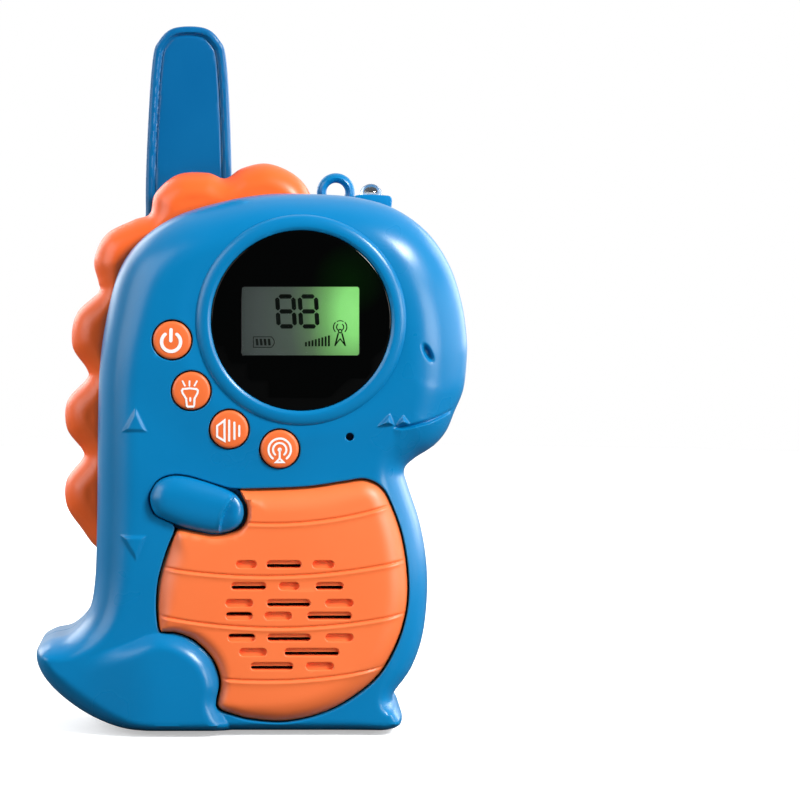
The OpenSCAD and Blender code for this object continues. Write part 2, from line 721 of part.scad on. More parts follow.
module case_screws() {
    color(steel) for (p = screw_places) difference() {
        union() {
            rod_y(p[0], p[1], 1.2, -8, 8.2);
            rod_y(p[0], p[1], 2.4, 8.05, 10);
        }
        cross_slot(p[0], p[1], 9.2, 11);
    }
}

module clip_bracket() {
    color(blue) difference() {
        union() {
            block([clip_x - 8, rear_depth, clip_pivot[2] - 5], [clip_x + 8, rear_depth + 1.2, clip_pivot[2] + 5]);
            for (s = [-1, 1]) hull() {
                rod_x(clip_pivot[1], clip_pivot[2], 2.6, clip_x + s * 6.9 - 1.1, clip_x + s * 6.9 + 1.1);
                block([clip_x + s * 6.9 - 1.1, rear_depth, clip_pivot[2] - 5],
                    [clip_x + s * 6.9 + 1.1, rear_depth + 1, clip_pivot[2] + 5]);
            }
        }
        rod_x(clip_pivot[1], clip_pivot[2], pin_r, clip_x - 9, clip_x + 9);
    }
}

module belt_clip() {
    y0 = clip_pivot[1] + 0.6;
    low = 71.5;
    color(blue) difference() {
        union() {
            rod_x(clip_pivot[1], clip_pivot[2], 2.2, clip_x - 5.5, clip_x + 5.5);
            slab(clip_x - 6.5, clip_x + 6.5, low, clip_pivot[2] - 3.2, 2, y0, y0 + 1.8);
            slab(clip_x - 5.5, clip_x + 5.5, clip_pivot[2] - 5, clip_pivot[2] + 9, 2, y0, y0 + 1.8);
            block([clip_x - 6.5, rear_depth + 1.2, low + 2], [clip_x + 6.5, y0 + 0.1, low + 3.6]);
        }
        rod_x(clip_pivot[1], clip_pivot[2], pin_r + pin_play, clip_x - 9, clip_x + 9);
        rod_x(clip_pivot[1], clip_pivot[2], 2.5, clip_x - 2.4, clip_x + 2.4);
    }
}

module clip_pin() {
    color(steel) rod_x(clip_pivot[1], clip_pivot[2], pin_r, clip_x - 8, clip_x + 8);
}

module clip_spring() {
    color(steel) translate([clip_x - 1.9, clip_pivot[1], clip_pivot[2]]) rotate([0, 90, 0])
        coil(1.6, 1.6, 3.8, 4, 0.3, 10, 5);
}

front_shell();
rear_shell();
spike_crest();
antenna_blade();
antenna_coil();
lanyard_loop();
torch_led();
torch_bracket();
display_window();
lcd_panel();
lcd_backlight();
round_button(0);  // power_button
round_button(1);  // torch_button
round_button(2);  // volume_button
round_button(3);  // signal_button
plunger_y(button_pos(0)[0], button_pos(0)[1]);  // power_plunger
plunger_y(button_pos(1)[0], button_pos(1)[1]);  // torch_plunger
plunger_y(button_pos(2)[0], button_pos(2)[1]);  // volume_plunger
plunger_y(button_pos(3)[0], button_pos(3)[1]);  // signal_plunger
talk_button();
plunger_y(talk_x, talk_z);  // talk_plunger
side_key(key_z[0]);  // up_key
plunger_x(key_z[0]);  // up_plunger
side_key(key_z[1]);  // down_key
plunger_x(key_z[1]);  // down_plunger
belly_panel();
speaker_cloth();
speaker_frame();
speaker_cone();
speaker_magnet();
microphone();
main_board();
front_switches();
side_board();
side_switches();
rf_shield();
board_chips();
speaker_leads();
battery_leads();
battery_tray();
battery_cells();
battery_springs();
battery_contacts();
battery_door();
door_screw();
clip_bracket();
belt_clip();
clip_pin();
clip_spring();
case_screws();
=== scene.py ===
import math
import bmesh
import bpy
from mathutils import Matrix, Vector
from mathutils.bvhtree import BVHTree


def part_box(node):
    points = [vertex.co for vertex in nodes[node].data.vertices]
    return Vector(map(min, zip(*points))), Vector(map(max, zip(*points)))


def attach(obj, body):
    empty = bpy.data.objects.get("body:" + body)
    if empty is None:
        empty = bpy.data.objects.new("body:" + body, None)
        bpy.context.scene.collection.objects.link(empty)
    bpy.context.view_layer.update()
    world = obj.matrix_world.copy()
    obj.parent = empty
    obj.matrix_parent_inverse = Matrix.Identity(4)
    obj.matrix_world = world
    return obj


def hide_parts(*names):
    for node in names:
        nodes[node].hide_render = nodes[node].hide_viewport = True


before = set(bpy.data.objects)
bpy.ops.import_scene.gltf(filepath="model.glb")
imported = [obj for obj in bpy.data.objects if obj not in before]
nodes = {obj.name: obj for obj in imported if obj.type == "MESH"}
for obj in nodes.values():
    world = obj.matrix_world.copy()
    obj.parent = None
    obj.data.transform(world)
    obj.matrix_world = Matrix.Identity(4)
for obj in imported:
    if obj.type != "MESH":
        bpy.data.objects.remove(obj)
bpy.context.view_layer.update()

mm = 0.001

# Camera: a long lens a little above the middle of the toy, looking at its front. The toy stands in
# the left half of the view.
aim = Vector((0, 0, 0.0744))
lens_far = 0.6
camera_data = bpy.data.cameras.new("camera")
camera_data.lens = 124.7
camera_data.sensor_width = 36
camera_data.shift_x = 0.1856
camera_data.shift_y = -0.0238
camera = bpy.data.objects.new("camera", camera_data)
bpy.context.collection.objects.link(camera)
tilt = math.radians(3)
camera.location = aim + Vector((0, -lens_far * math.cos(tilt), lens_far * math.sin(tilt)))
camera.rotation_euler = (math.radians(90) - tilt, 0, 0)
bpy.context.scene.camera = camera
bpy.context.scene.view_settings.view_transform = "Standard"

# Studio: white surroundings that are brighter behind the toy, soft boxes at its right, at its left
# and behind it, and a plain pale floor.
def set_inputs(node, settings):
    """Sets a shader node's own values by the names of its inputs."""
    for socket, value in settings.items():
        node.inputs[socket].default_value = value


def add_node(tree, kind, settings=None):
    """Adds a shader node with its own values."""
    node = tree.nodes.new("ShaderNode" + kind)
    set_inputs(node, settings or {})
    return node


def wire(tree, *runs):
    """Links shader nodes, each run as (from node, its output, to node, its input)."""
    for start, output, end, socket in runs:
        tree.links.new(start.outputs[output], end.inputs[socket])


def start_finish(name, settings):
    """Starts a material: gives it, its node tree, and its shader with its own values set."""
    material = bpy.data.materials.new(name)
    material.use_nodes = True
    shader = material.node_tree.nodes["Principled BSDF"]
    set_inputs(shader, settings)
    return material, material.node_tree, shader


world = bpy.data.worlds.new("studio")
bpy.context.scene.world = world
world.use_nodes = True
sky = world.node_tree
surroundings = sky.nodes["Background"]
set_inputs(surroundings, {"Color": (1, 1, 1, 1)})
towards = add_node(sky, "TexCoord")
parts = add_node(sky, "SeparateXYZ")
rise = add_node(sky, "MapRange", {"From Min": -0.7, "From Max": 0.75, "To Min": 0.03, "To Max": 1.0})
rise.interpolation_type = "SMOOTHSTEP"
seen = add_node(sky, "LightPath")
pick = add_node(sky, "Mix", {"B": 1.0})
wire(sky, (towards, "Generated", parts, "Vector"), (parts, "Y", rise, "Value"),
     (seen, "Is Camera Ray", pick, "Factor"), (rise, "Result", pick, "A"),
     (pick, "Result", surroundings, "Strength"))


def soft_light(name, place, size, power):
    """A square soft box that faces the middle of the toy."""
    data = bpy.data.lights.new(name, "AREA")
    data.size = size
    data.energy = power
    lamp = bpy.data.objects.new(name, data)
    bpy.context.collection.objects.link(lamp)
    lamp.location = place
    lamp.rotation_euler = (aim - Vector(place)).to_track_quat("-Z", "Y").to_euler()


soft_light("key", (0.5, -0.42, 0.5), 0.17, 6.5)
soft_light("side", (0.75, -0.05, 0.05), 0.5, 1.6)
soft_light("low_right", (0.6, -0.5, 0.14), 0.24, 1.8)
soft_light("fill", (-0.78, -0.48, 0.42), 0.75, 6.0)
soft_light("back_left", (-0.5, 0.5, 0.4), 0.5, 3.0)
soft_light("back_right", (0.6, 0.45, 0.3), 0.5, 3.0)

floor_shape = bmesh.new()
bmesh.ops.create_circle(floor_shape, cap_ends=True, segments=96, radius=0.8)
floor_mesh = bpy.data.meshes.new("floor")
floor_shape.to_mesh(floor_mesh)
floor_shape.free()
floor = bpy.data.objects.new("floor", floor_mesh)
bpy.context.collection.objects.link(floor)
floor.location.z = -0.2 * mm
floor_paint, tree, shader = start_finish("pale_floor", {
    "Roughness": 0.9, "Specular IOR Level": 0.1, "Emission Color": (1, 1, 1, 1)})
seen = add_node(tree, "LightPath")
for dark, pale, socket in ((0.06, 0.86, "Base Color"), (0.0, 0.42, "Emission Strength")):
    tone = add_node(tree, "MapRange", {"To Min": dark, "To Max": pale})
    wire(tree, (seen, "Is Camera Ray", tone, "Value"), (tone, "Result", shader, socket))
floor_mesh.materials.append(floor_paint)

# Front case: one blue moulding with the head, chest, tail and feet. Its edges roll back to a flat
# parting line. The mouth, teeth, eye, thigh and the two small arrows are moulded in its face.
body_points = [
    [-22, 0, 3], [-8, 0, 3], [8, 0, 3], [20, 0, 3], [28, 0, 2.5],
    [31.6, 1.2, 2], [32.3, 3.2, 2], [31.2, 5.6, 2.6], [30.4, 7.6, 4],
    [34.2, 13, 6], [36.7, 20, 7], [37.7, 29, 7], [37.4, 37, 7], [35.9, 45, 7], [33.6, 52, 7],
    [32.7, 55.8, 7], [34.8, 58.2, 7], [38.8, 60.8, 8], [41.6, 64, 9], [43.4, 68.2, 10],
    [45.3, 73, 12], [46, 79, 13], [46, 84, 13.5], [44.9, 91.5, 14], [42.2, 99.6, 14],
    [37.4, 106.6, 13], [30.4, 111.6, 12], [22, 114, 11], [12, 114.7, 10], [3, 114.6, 10],
    [-6, 113.1, 10], [-16, 110, 10], [-23.5, 105, 10], [-28.2, 98.4, 10], [-31, 88, 9.5],
    [-32.5, 77, 9], [-32.9, 63, 9], [-33.1, 46, 9], [-33.6, 32, 8],
    [-35.2, 24.8, 7], [-39, 20.6, 5], [-43.4, 19.3, 3.6], [-46, 17.2, 2.8], [-45.4, 13, 3.8],
    [-42, 8.4, 5], [-36, 3.8, 5], [-29, 0.8, 4],
]
thigh_points = [
    [-5.4, -6, 1], [-4.4, -1, 1], [-4.7, 2, 1], [-6.4, 4.9, 1], [-7.3, 7.4, 1], [-6.9, 11, 1],
    [-8.6, 16, 1], [-13.2, 20.2, 1], [-19.4, 22, 1], [-26.5, 19.6, 1], [-36, 16, 1], [-48, 8, 1],
    [-44, -6, 1], [-25, -9, 1],
]
# The belly and the arm leave by one opening.
opening_points = [
    [-7.3, 6.2, 1], [-3.4, 4.2, 1], [0.4, 3.3, 1], [7, 2.9, 1], [14.2, 4.4, 1], [20.5, 7.4, 1],
    [26.8, 12.6, 1], [30.9, 19.7, 1], [32.9, 27, 1], [33.1, 34, 1], [32, 41.8, 1], [30, 48, 1],
    [27.6, 52.6, 1], [24, 54.5, 1], [19.5, 54, 1], [12, 52.9, 1], [3.6, 52.5, 1], [-2.4, 52.4, 1],
    [-5, 52.6, 1], [-8, 53.5, 1], [-13.4, 55.1, 1], [-17, 55.3, 1], [-20, 53.9, 1], [-21.5, 50.6, 1],
    [-20.5, 47.3, 1], [-18.2, 45.9, 1], [-16.5, 45.1, 1], [-16.2, 43.6, 1], [-17.9, 39.4, 1],
    [-19.7, 33, 1], [-20.1, 27, 1], [-19.5, 22.6, 1], [-18.2, 21.9, 1], [-15.7, 21.7, 1],
    [-11.9, 20, 1], [-8.3, 16.3, 1], [-6.7, 11.6, 1],
]
parting_y = 2 * mm
front_side = -7 * mm      # where the front's soft edge starts
front_face = -17 * mm
wall = 2 * mm


def smooth_loop(points, steps, lowest=0.0):
    """Closed smooth curve through [x, z, edge radius] points in mm, as vectors in metres."""
    count = len(points)
    loop = []
    for i in range(count):
        a, b, c, d = (Vector(points[(i + k) % count]) for k in (-1, 0, 1, 2))
        for s in range(steps):
            t = s / steps
            q = 0.5 * (2 * b + (c - a) * t + (2 * a - 5 * b + 4 * c - d) * t * t
                       + (3 * b - 3 * c + d - a) * t ** 3)
            loop.append(Vector((q.x, max(q.y, lowest), q.z)) * mm)
    return loop


def moved_in(loop, distance, reach=4):
    """The loop moved inwards by a distance, less at its tight corners, with its edge radius reduced."""
    count = len(loop)
    moved = []
    for i, p in enumerate(loop):
        run = loop[(i + reach) % count] - loop[i - reach]
        run.z = 0
        run.normalize()
        way = min(distance, 0.6 * p.z)
        moved.append(Vector((p.x - run.y * way, p.y + run.x * way, max(p.z - way, 0.3 * mm))))
    return moved


def round_loop(x, z, radius, steps):
    """Circle as a loop, anticlockwise from the front."""
    return [Vector((x + radius * math.cos(2 * math.pi * i / steps),
                    z + radius * math.sin(2 * math.pi * i / steps), 1 * mm)) for i in range(steps)]


def fence(loop):
    """Gives a function of x and z: the distance inside the loop, and the edge radius there."""
    count = len(loop)
    wall_tree = BVHTree.FromPolygons(
        [(p.x, y, p.y) for p in loop for y in (-0.05, 0.05)],
        [(2 * i, 2 * i + 1, (2 * i + 3) % (2 * count), (2 * i + 2) % (2 * count))
         for i in range(count)])

    def measure(x, z):
        place, _, index, distance = wall_tree.find_nearest((x, 0, z))
        a, b = loop[index], loop[(index + 1) % count]
        run = b - a
        inside = run.x * (z - a.y) - run.y * (x - a.x)
        along = ((place.x - a.x) * run.x + (place.z - a.y) * run.y) / (run.x ** 2 + run.y ** 2)
        return (distance if inside > 0 else -distance), a.z + (b.z - a.z) * min(max(along, 0), 1)

    return measure


def ease(t):
    """Soft step from 0 to 1."""
    t = min(max(t, 0.0), 1.0)
    return t * t * (3 - 2 * t)


def bell(t):
    return math.exp(-t * t)


def new_ring(bm, loop, y=0.0):
    """A closed ring of edges along a loop, at a depth y."""
    verts = [bm.verts.new((p.x, y, p.y)) for p in loop]
    for i in range(len(verts)):
        bm.edges.new((verts[i - 1], verts[i]))
    return verts


def middle_of(node):
    """The middle of a CAD node's box, as x, y and z."""
    return [(low + high) / 2 for low, high in zip(*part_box(node))]


def rolled(inside, edge):
    """A rounded edge: rises from 0 at the rim to 1 where it is an edge radius inside."""
    part = 1 - min(max(inside, 0) / edge, 1)
    return math.sqrt(1 - part * part)


def rings_to(width, count):
    """Distances from a rim of rings that lie closer together towards it."""
    return [width * mm * (k / count) ** 2 for k in range(1, count + 1)]


def ring_edges(bm, ring):
    return [bm.edges.get((ring[i - 1], ring[i])) for i in range(len(ring))]


def carry(bm, ring, places):
    """Extrudes a closed ring to new places and gives the new ring in the same order."""
    made = bmesh.ops.extrude_edge_only(bm, edges=ring_edges(bm, ring))["geom"]
    fresh = {g for g in made if isinstance(g, bmesh.types.BMVert)}
    new = []
    for vert, place in zip(ring, places):
        twin = next(e.other_vert(vert) for e in vert.link_edges if e.other_vert(vert) in fresh)
        twin.co = place
        new.append(twin)
    return new


def cut_in_cells(bm, faces, pitch):
    """Cuts flat faces at y = 0 along a square grid and gives all the parts."""
    for axis, normal in ((0, Vector((1, 0, 0))), (2, Vector((0, 0, 1)))):

        def span(face):
            across = [v.co[axis] for v in face.verts]
            return min(across) + 1e-7, max(across) - 1e-7, face

        ahead = [span(f) for f in faces]
        done = []
        step = math.floor(min(s[0] for s in ahead) / pitch) + 1
        while ahead:
            place = step * pitch
            done += [f for low, high, f in ahead if high <= place]
            crossed = [f for low, high, f in ahead if low < place < high]
            ahead = [s for s in ahead if s[0] >= place and s[1] > place]
            if crossed:
                around = {v for f in crossed for v in f.verts} | {e for f in crossed for e in f.edges}
                cut = bmesh.ops.bisect_plane(bm, geom=list(around) + crossed, dist=1e-8,
                                             plane_co=normal * place, plane_no=normal)
                split = [span(g) for g in cut["geom"] if isinstance(g, bmesh.types.BMFace)]
                done += [f for low, high, f in split if high <= place]
                ahead += [s for s in split if s[1] > place]
            step += 1
        faces = done
    return faces


def relief(bm, rim, insets, holes, pitch, height, finer=()):
    """A sheet between a rim and holes whose depth y is a function of x and z.

    insets are the distances of the first rings from the rim. Each hole is a loop with the widths and
    sinks of the rings of its soft lip. Gives the rim's ring and each hole's ring.
    """
    before = set(bm.verts)
    start = new_ring(bm, rim)
    ring = start
    for distance in insets:
        ring = sideways(bm, ring, moved_in(rim, distance), 0)
    borders = ring_edges(bm, ring)
    mouths = []
    sunk = []
    for loop, lips in holes:
        ring = new_ring(bm, loop)
        mouths.append(ring)
        sunk += [(v, lips[0][1]) for v in ring]
        for width, sink in lips[1:]:
            ring = sideways(bm, ring, moved_in(loop, -width), 0)
            sunk += [(v, sink) for v in ring]
        borders += ring_edges(bm, ring)
    filled = fill_flat(bm, borders, -1)
    inner = [g for g in filled if isinstance(g, bmesh.types.BMEdge) and g not in borders]
    joined = bmesh.ops.dissolve_limit(bm, angle_limit=0.01, verts=[], edges=inner)["region"]
    faces = cut_in_cells(bm, joined, pitch)
    for near in finer:
        pitch /= 2
        faces = cut_in_cells(bm, [f for f in faces if near(*f.calc_center_median().xz)], pitch)
    for v in bm.verts:
        if v not in before:
            v.co.y = height(v.co.x, v.co.z)
    for v, sink in sunk:
        v.co.y += sink
    return start, mouths


def soft_lip(radius, steps=5):
    """Widths and sinks of a rounded lip round a hole, from its wall outwards."""
    turns = [90 * i / steps for i in range(steps + 1)]
    lips = [(radius * (1 - math.cos(math.radians(a))), radius * (1 - math.sin(math.radians(a))))
            for a in turns]
    return lips + [(radius * 1.4, 0)]


def back_to(bm, ring, y):
    """Carries a ring straight back to a depth y, or to a function of x and z."""
    return carry(bm, ring, [(v.co.x, y(v.co.x, v.co.z) if callable(y) else y, v.co.z) for v in ring])


def sideways(bm, ring, loop, y):
    """Carries a ring at a depth y out or in to a loop."""
    return carry(bm, ring, [(p.x, y, p.y) for p in loop])


def cap(bm, ring):
    """Closes a ring with one face."""
    bmesh.ops.contextual_create(bm, geom=ring_edges(bm, ring))


def fill_flat(bm, edges, way):
    """Fills flat edges with faces that look along Y, to the front at -1 and to the back at 1."""
    return bmesh.ops.triangle_fill(bm, edges=edges, use_beauty=False, normal=(0, way, 0))["geom"]


def piece(bm, name, body, material, sharp=35):
    """Makes a closed shape an object that rides on a body."""
    bmesh.ops.remove_doubles(bm, verts=bm.verts[:], dist=1e-7)
    bmesh.ops.recalc_face_normals(bm, faces=bm.faces[:])
    for f in bm.faces:
        f.smooth = True
    for e in bm.edges:
        e.smooth = len(e.link_faces) == 2 and e.calc_face_angle(0) < math.radians(sharp)
    mesh = bpy.data.meshes.new(name)
    bm.to_mesh(mesh)
    bm.free()
    obj = bpy.data.objects.new(name, mesh)
    bpy.context.collection.objects.link(obj)
    mesh.materials.append(material)
    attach(obj, body)
    return obj


def moulded(name, colour, light, rough=0.34, grain=1.0, specular=0.5):
    """Moulded plastic: a slightly cloudy colour, its convex edges lightened as a painted highlight, and a
    fine satin grain.
    """
    material, tree, shader = start_finish(name, {"Specular IOR Level": specular})
    place = add_node(tree, "TexCoord")
    cloud = add_node(tree, "TexNoise", {"Scale": 45, "Detail": 3})
    spread = add_node(tree, "MapRange", {"From Min": 0.15, "From Max": 0.85, "To Max": 0.22})
    spread.interpolation_type = "SMOOTHSTEP"
    tint = add_node(tree, "Mix")
    tint.data_type = "RGBA"
    set_inputs(tint, {"A": (*colour, 1), "B": (*light, 1)})
    form = add_node(tree, "NewGeometry")
    # Painted highlight: edges that curve sharply outwards, found by pointiness, are mixed towards the light
    # colour, standing in for the sheen they catch.
    edge_highlight_mask = add_node(tree, "MapRange", {"From Min": 0.52, "From Max": 0.62, "To Max": 0.6})
    edge = add_node(tree, "Mix")
    edge.data_type = "RGBA"
    set_inputs(edge, {"B": (*light, 1)})
    satin = add_node(tree, "MapRange", {"To Min": rough - 0.04, "To Max": rough + 0.05})
    fine = add_node(tree, "TexNoise", {"Scale": 2600, "Detail": 2})
    bump = add_node(tree, "Bump", {"Strength": 0.10 * grain, "Distance": 0.05 * mm})
    wire(tree, (place, "Object", cloud, "Vector"), (place, "Object", fine, "Vector"),
         (cloud, "Fac", spread, "Value"), (spread, "Result", tint, "Factor"),
         (tint, "Result", edge, "A"), (form, "Pointiness", edge_highlight_mask, "Value"),
         (edge_highlight_mask, "Result", edge, "Factor"), (edge, "Result", shader, "Base Color"),
         (cloud, "Fac", satin, "Value"), (satin, "Result", shader, "Roughness"),
         (fine, "Fac", bump, "Height"), (bump, "Normal", shader, "Normal"))
    return material


case_blue = moulded("case_blue", (0.0002, 0.182, 0.43), (0.001, 0.27, 0.60), rough=0.28, specular=0.4)

body_loop = smooth_loop(body_points, 8)
body_fence = fence(body_loop)
thigh_fence = fence(smooth_loop(thigh_points, 8, lowest=-99))
window_x, _, window_z = middle_of("display_window")
window_r = (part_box("display_window")[1].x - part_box("display_window")[0].x) / 2

mouth_line = [Vector((29.6, 65.25)), Vector((31.6, 65.25)), Vector((33.6, 65.5)), Vector((37.3, 66.4)),
              Vector((40.3, 67.5)), Vector((42.9, 68.7))]
tooth_corners = [
    [(29.1, 68.6), (26.3, 65.6), (30.1, 65.9)],
    [(31.9, 68.2), (30.3, 65.9), (33.5, 66.1)],
]
arrow_corners = [
    [(-24.4, 69.5), (-27.1, 64.6), (-22.1, 64.6)],
    [(-27.5, 42.5), (-22.3, 42.5), (-24.4, 37.4)],
]
eye_middle, eye_turn = Vector((37.1, 81.2)), math.radians(28)


def inside_triangle(corners, x, z):
    """How far a point in mm is inside a triangle."""
    (ax, az), (bx, bz), (cx, cz) = corners
    way = 1 if (bx - ax) * (cz - az) - (bz - az) * (cx - ax) > 0 else -1
    sides = zip(corners, corners[1:] + corners[:1])
    return min(way * ((qx - px) * (z - pz) - (qz - pz) * (x - px)) / math.hypot(qx - px, qz - pz)
               for (px, pz), (qx, qz) in sides)


def below_mouth(x, z):
    """Distance in mm below the mouth line, and how far along it, from 0 to 1."""
    best = (99, 0, 0)
    for i in range(len(mouth_line) - 1):
        a, b = mouth_line[i], mouth_line[i + 1]
        run = b - a
        along = min(max((Vector((x, z)) - a).dot(run) / run.length_squared, 0), 1)
        gap = Vector((x, z)) - a - run * along
        if gap.length < best[0]:
            best = (gap.length, gap.y, (i + along) / (len(mouth_line) - 1))
    return (best[0] if best[1] < 0 else -best[0]), best[2]


def face_details(x, z):
    """Height in mm of what is moulded in the face at a point in mm."""
    lift = 0
    if 24 < x < 46 and 58 < z < 71:
        below, along = below_mouth(x, z)
        taper = ease(along * 5) * ease((1.08 - along) * 6)
        if below > -0.1:
            lift += 0.55 * taper * ease((below + 0.1) / 0.35) * math.exp(-max(below, 0) / 2.2)
        lift -= 0.85 * taper * bell((below + 0.3) / 0.3)
        for corners in tooth_corners:
            inner = inside_triangle(corners, x, z)
            lift += 0.95 * ease((inner + 0.15) / 1.0)
    if -30 < x < -19:
        for corners in arrow_corners:
            lift += 0.45 * ease((inside_triangle(corners, x, z) + 0.3) / 1.0)
    if 33 < x < 41 and 77 < z < 86:
        dx, dz = x - eye_middle.x, z - eye_middle.y
        across = dx * math.cos(eye_turn) + dz * math.sin(eye_turn)
        up = -dx * math.sin(eye_turn) + dz * math.cos(eye_turn)
        lift -= 1.5 * bell(math.hypot(across / 0.72, up / 1.75) ** 2)
    return lift


def front_height(x, z):
    """Depth y of the front face, with the head's and thigh's swell and the face's details."""
    fall = rolled(*body_fence(x, z))
    X, Z = x / mm, z / mm
    head = 1.1 * ease(1 - ((X - 8) / 40) ** 2 - ((Z - 88) / 33) ** 2)
    head += (0.5 - head) * ease((27 - math.hypot(X - window_x / mm, Z - window_z / mm)) / 4.5)
    thigh = 0
    if X < 2 and Z < 28:
        depth = thigh_fence(x, z)[0] / mm
        thigh = 2.4 * math.sin(math.pi / 2 * min(max(depth / 3.4, 0), 1)) * ease((X + 38) / 18)
    return front_side + (front_face - front_side) * fall - (head + thigh + face_details(X, Z)) * fall * mm


def near_details(x, z):
    """Where the face is finer: the mouth, the eye, the arrows and the thigh's edge."""
    X, Z = x / mm, z / mm
    return ((24.5 < X < 46 and 61 < Z < 70.5) or math.hypot(X - 37.1, Z - 81.2) < 3.6
            or (-28.5 < X < -21 and (63.5 < Z < 70.5 or 36.5 < Z < 43.6))
            or (X < -2 and abs(thigh_fence(x, z)[0]) < 1.6 * mm))


def near_fine(x, z):
    """Where it is finer still: the mouth line, the teeth, the eye and the arrows' edges."""
    X, Z = x / mm, z / mm
    return ((25.5 < X < 45.5 and abs(below_mouth(X, Z)[0]) < 1.4 and 64 < Z < 70)
            or (25.5 < X < 34.5 and 65 < Z < 69.4) or math.hypot(X - 37.1, Z - 81.2) < 2.6
            or any(abs(inside_triangle(c, X, Z)) < 0.8 for c in arrow_corners))


button_names = ["power", "torch", "volume", "signal"]
button_at = {}
for name in button_names:
    x, _, z = middle_of(name + "_button")
    button_at[name] = (x, z)
mic_x, _, mic_z = middle_of("microphone")

button_r = 4.05 * mm
opening_loop = moved_in(smooth_loop(opening_points, 6), -0.15 * mm)
front_holes = [
    (opening_loop, soft_lip(0.35 * mm)),
    (round_loop(window_x, window_z, window_r + 1.2 * mm, 96), [(0, 0), (0.2 * mm, 0)]),
    (round_loop(mic_x, mic_z, 0.85 * mm, 24), soft_lip(0.2 * mm, 3)),
]
for name in button_names:
    front_holes.append((round_loop(*button_at[name], button_r + 0.27 * mm, 64), soft_lip(0.25 * mm, 4)))

rim_rings = rings_to(1.2, 10)


def shell(bm, outer, mouths_of, side_y, inner_face, inner_holes):
    """Closes a case half: the side wall to the parting line, the wall's rim, and the inside."""
    ring, mouths = outer
    chamfer = 0.2 * mm if side_y < parting_y else -0.2 * mm
    ring = back_to(bm, ring, parting_y - chamfer)
    ring = sideways(bm, ring, moved_in(body_loop, 0.2 * mm), parting_y)
    inner = moved_in(body_loop, wall)
    sideways(bm, ring, inner, parting_y)
    inner_fence = fence(inner)

    def inner_height(x, z):
        return side_y + (inner_face - side_y) * rolled(*inner_fence(x, z))

    inner_rim, inner_mouths = relief(bm, inner, [0.02 * mm, 0.1 * mm, 0.3 * mm], inner_holes, 3 * mm,
                                     inner_height)
    back_to(bm, inner_rim, parting_y)
    for number, ring in zip(mouths_of, inner_mouths):
        carry(bm, mouths[number], [tuple(v.co) for v in ring])


case_shape = bmesh.new()
outer = relief(case_shape, body_loop, rim_rings, front_holes, 0.62 * mm, front_height,
               [near_details, near_fine])
shell(case_shape, outer, range(len(front_holes)), front_side, front_face + wall,
      [(loop, [(0, 0), (0.3 * mm, 0)]) for loop, lips in front_holes])
front_case = piece(case_shape, "front_case", "case", case_blue)
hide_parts("front_shell")

# Window surround: the raised ring round the display, moulded in one with the front case. It rises
# to a flat crown and drops to a bright inner lip.
def lathe(bm, profile, x, z, steps=96, closed=False):
    """Turns a profile of [radius, y] in mm about a line along Y through x and z."""
    verts = [bm.verts.new((x + r * mm, y * mm, z)) for r, y in profile]
    edges = [bm.edges.new(pair) for pair in zip(verts, verts[1:])]
    if closed:
        edges.append(bm.edges.new((verts[-1], verts[0])))
    bmesh.ops.spin(bm, geom=verts + edges, cent=(x, 0, z), axis=(0, 1, 0), angle=2 * math.pi,
                   steps=steps, use_merge=True)
    bmesh.ops.remove_doubles(bm, verts=bm.verts[:], dist=1e-6)


ring_shape = bmesh.new()
lathe(ring_shape, [
    [18.98, -15.6], [18.98, -17.98], [19.03, -18.04], [19.3, -18.2], [19.6, -18.36], [19.74, -18.4],
    [20.2, -18.4], [20.6, -18.34], [21.0, -18.24], [21.4, -18.1], [21.75, -17.9], [22.0, -17.64],
    [22.17, -17.3], [22.25, -16.9], [22.25, -15.6]], window_x, window_z, 160, closed=True)
piece(ring_shape, "window_surround", "case", case_blue, 60)

# Rear case: the other half of the blue moulding, with the battery opening, a seat for the door's
# tab and screw, six screw wells, and slots in its left side for the two channel keys.
rear_side = 9 * mm
rear_face = 17 * mm
door_x = (-16.8, 18.8)
door_z = (13.0, 63.0)
tab_x = (-4.0, 6.0)
tab_top = 69.4


def corner_loop(corners, steps=5):
    """Loop through [x, z, radius] corners in mm, anticlockwise, with each corner an arc."""
    loop = []
    count = len(corners)
    for i, (x, z, radius) in enumerate(corners):
        here = Vector((x, z))
        before = (Vector(corners[i - 1][:2]) - here).normalized()
        after = (Vector(corners[(i + 1) % count][:2]) - here).normalized()
        half = before.angle(after) / 2
        middle = here + (before + after).normalized() * radius / math.sin(half)
        start = here + before * radius / math.tan(half) - middle
        end = here + after * radius / math.tan(half) - middle
        turn = start.angle_signed(end)
        for s in range(steps + 1):
            spoke = start.copy()
            spoke.rotate(Matrix.Rotation(-turn * s / steps, 2))
            loop.append(Vector((middle.x + spoke.x, middle.y + spoke.y, 1)) * mm)
    return loop


door_loop = corner_loop([
    [door_x[0], door_z[0], 2], [door_x[1], door_z[0], 2], [door_x[1], door_z[1], 2],
    [tab_x[1], door_z[1], 0.8], [tab_x[1], tab_top, 2], [tab_x[0], tab_top, 2],
    [tab_x[0], door_z[1], 0.8], [door_x[0], door_z[1], 2]])


def rear_height(x, z):
    return rear_side + (rear_face - rear_side) * rolled(*body_fence(x, z))


def lips_back(lips):
    """A lip for a surface that faces the back."""
    return [(width, -sink) for width, sink in lips]


screw_places = [[-15.5, 95.5], [30.5, 95.5], [-21.2, 62], [31.4, 69.4], [-25, 10.5], [25.5, 6.2]]
well_r, well_floor = 2.6 * mm, 8.9 * mm
door_gap = moved_in(door_loop, -0.3 * mm, 1)
rear_holes = [(door_gap, lips_back(soft_lip(0.3 * mm, 4)))]
for x, z in screw_places:
    rear_holes.append((round_loop(x * mm, z * mm, well_r, 32), lips_back(soft_lip(0.25 * mm, 3))))

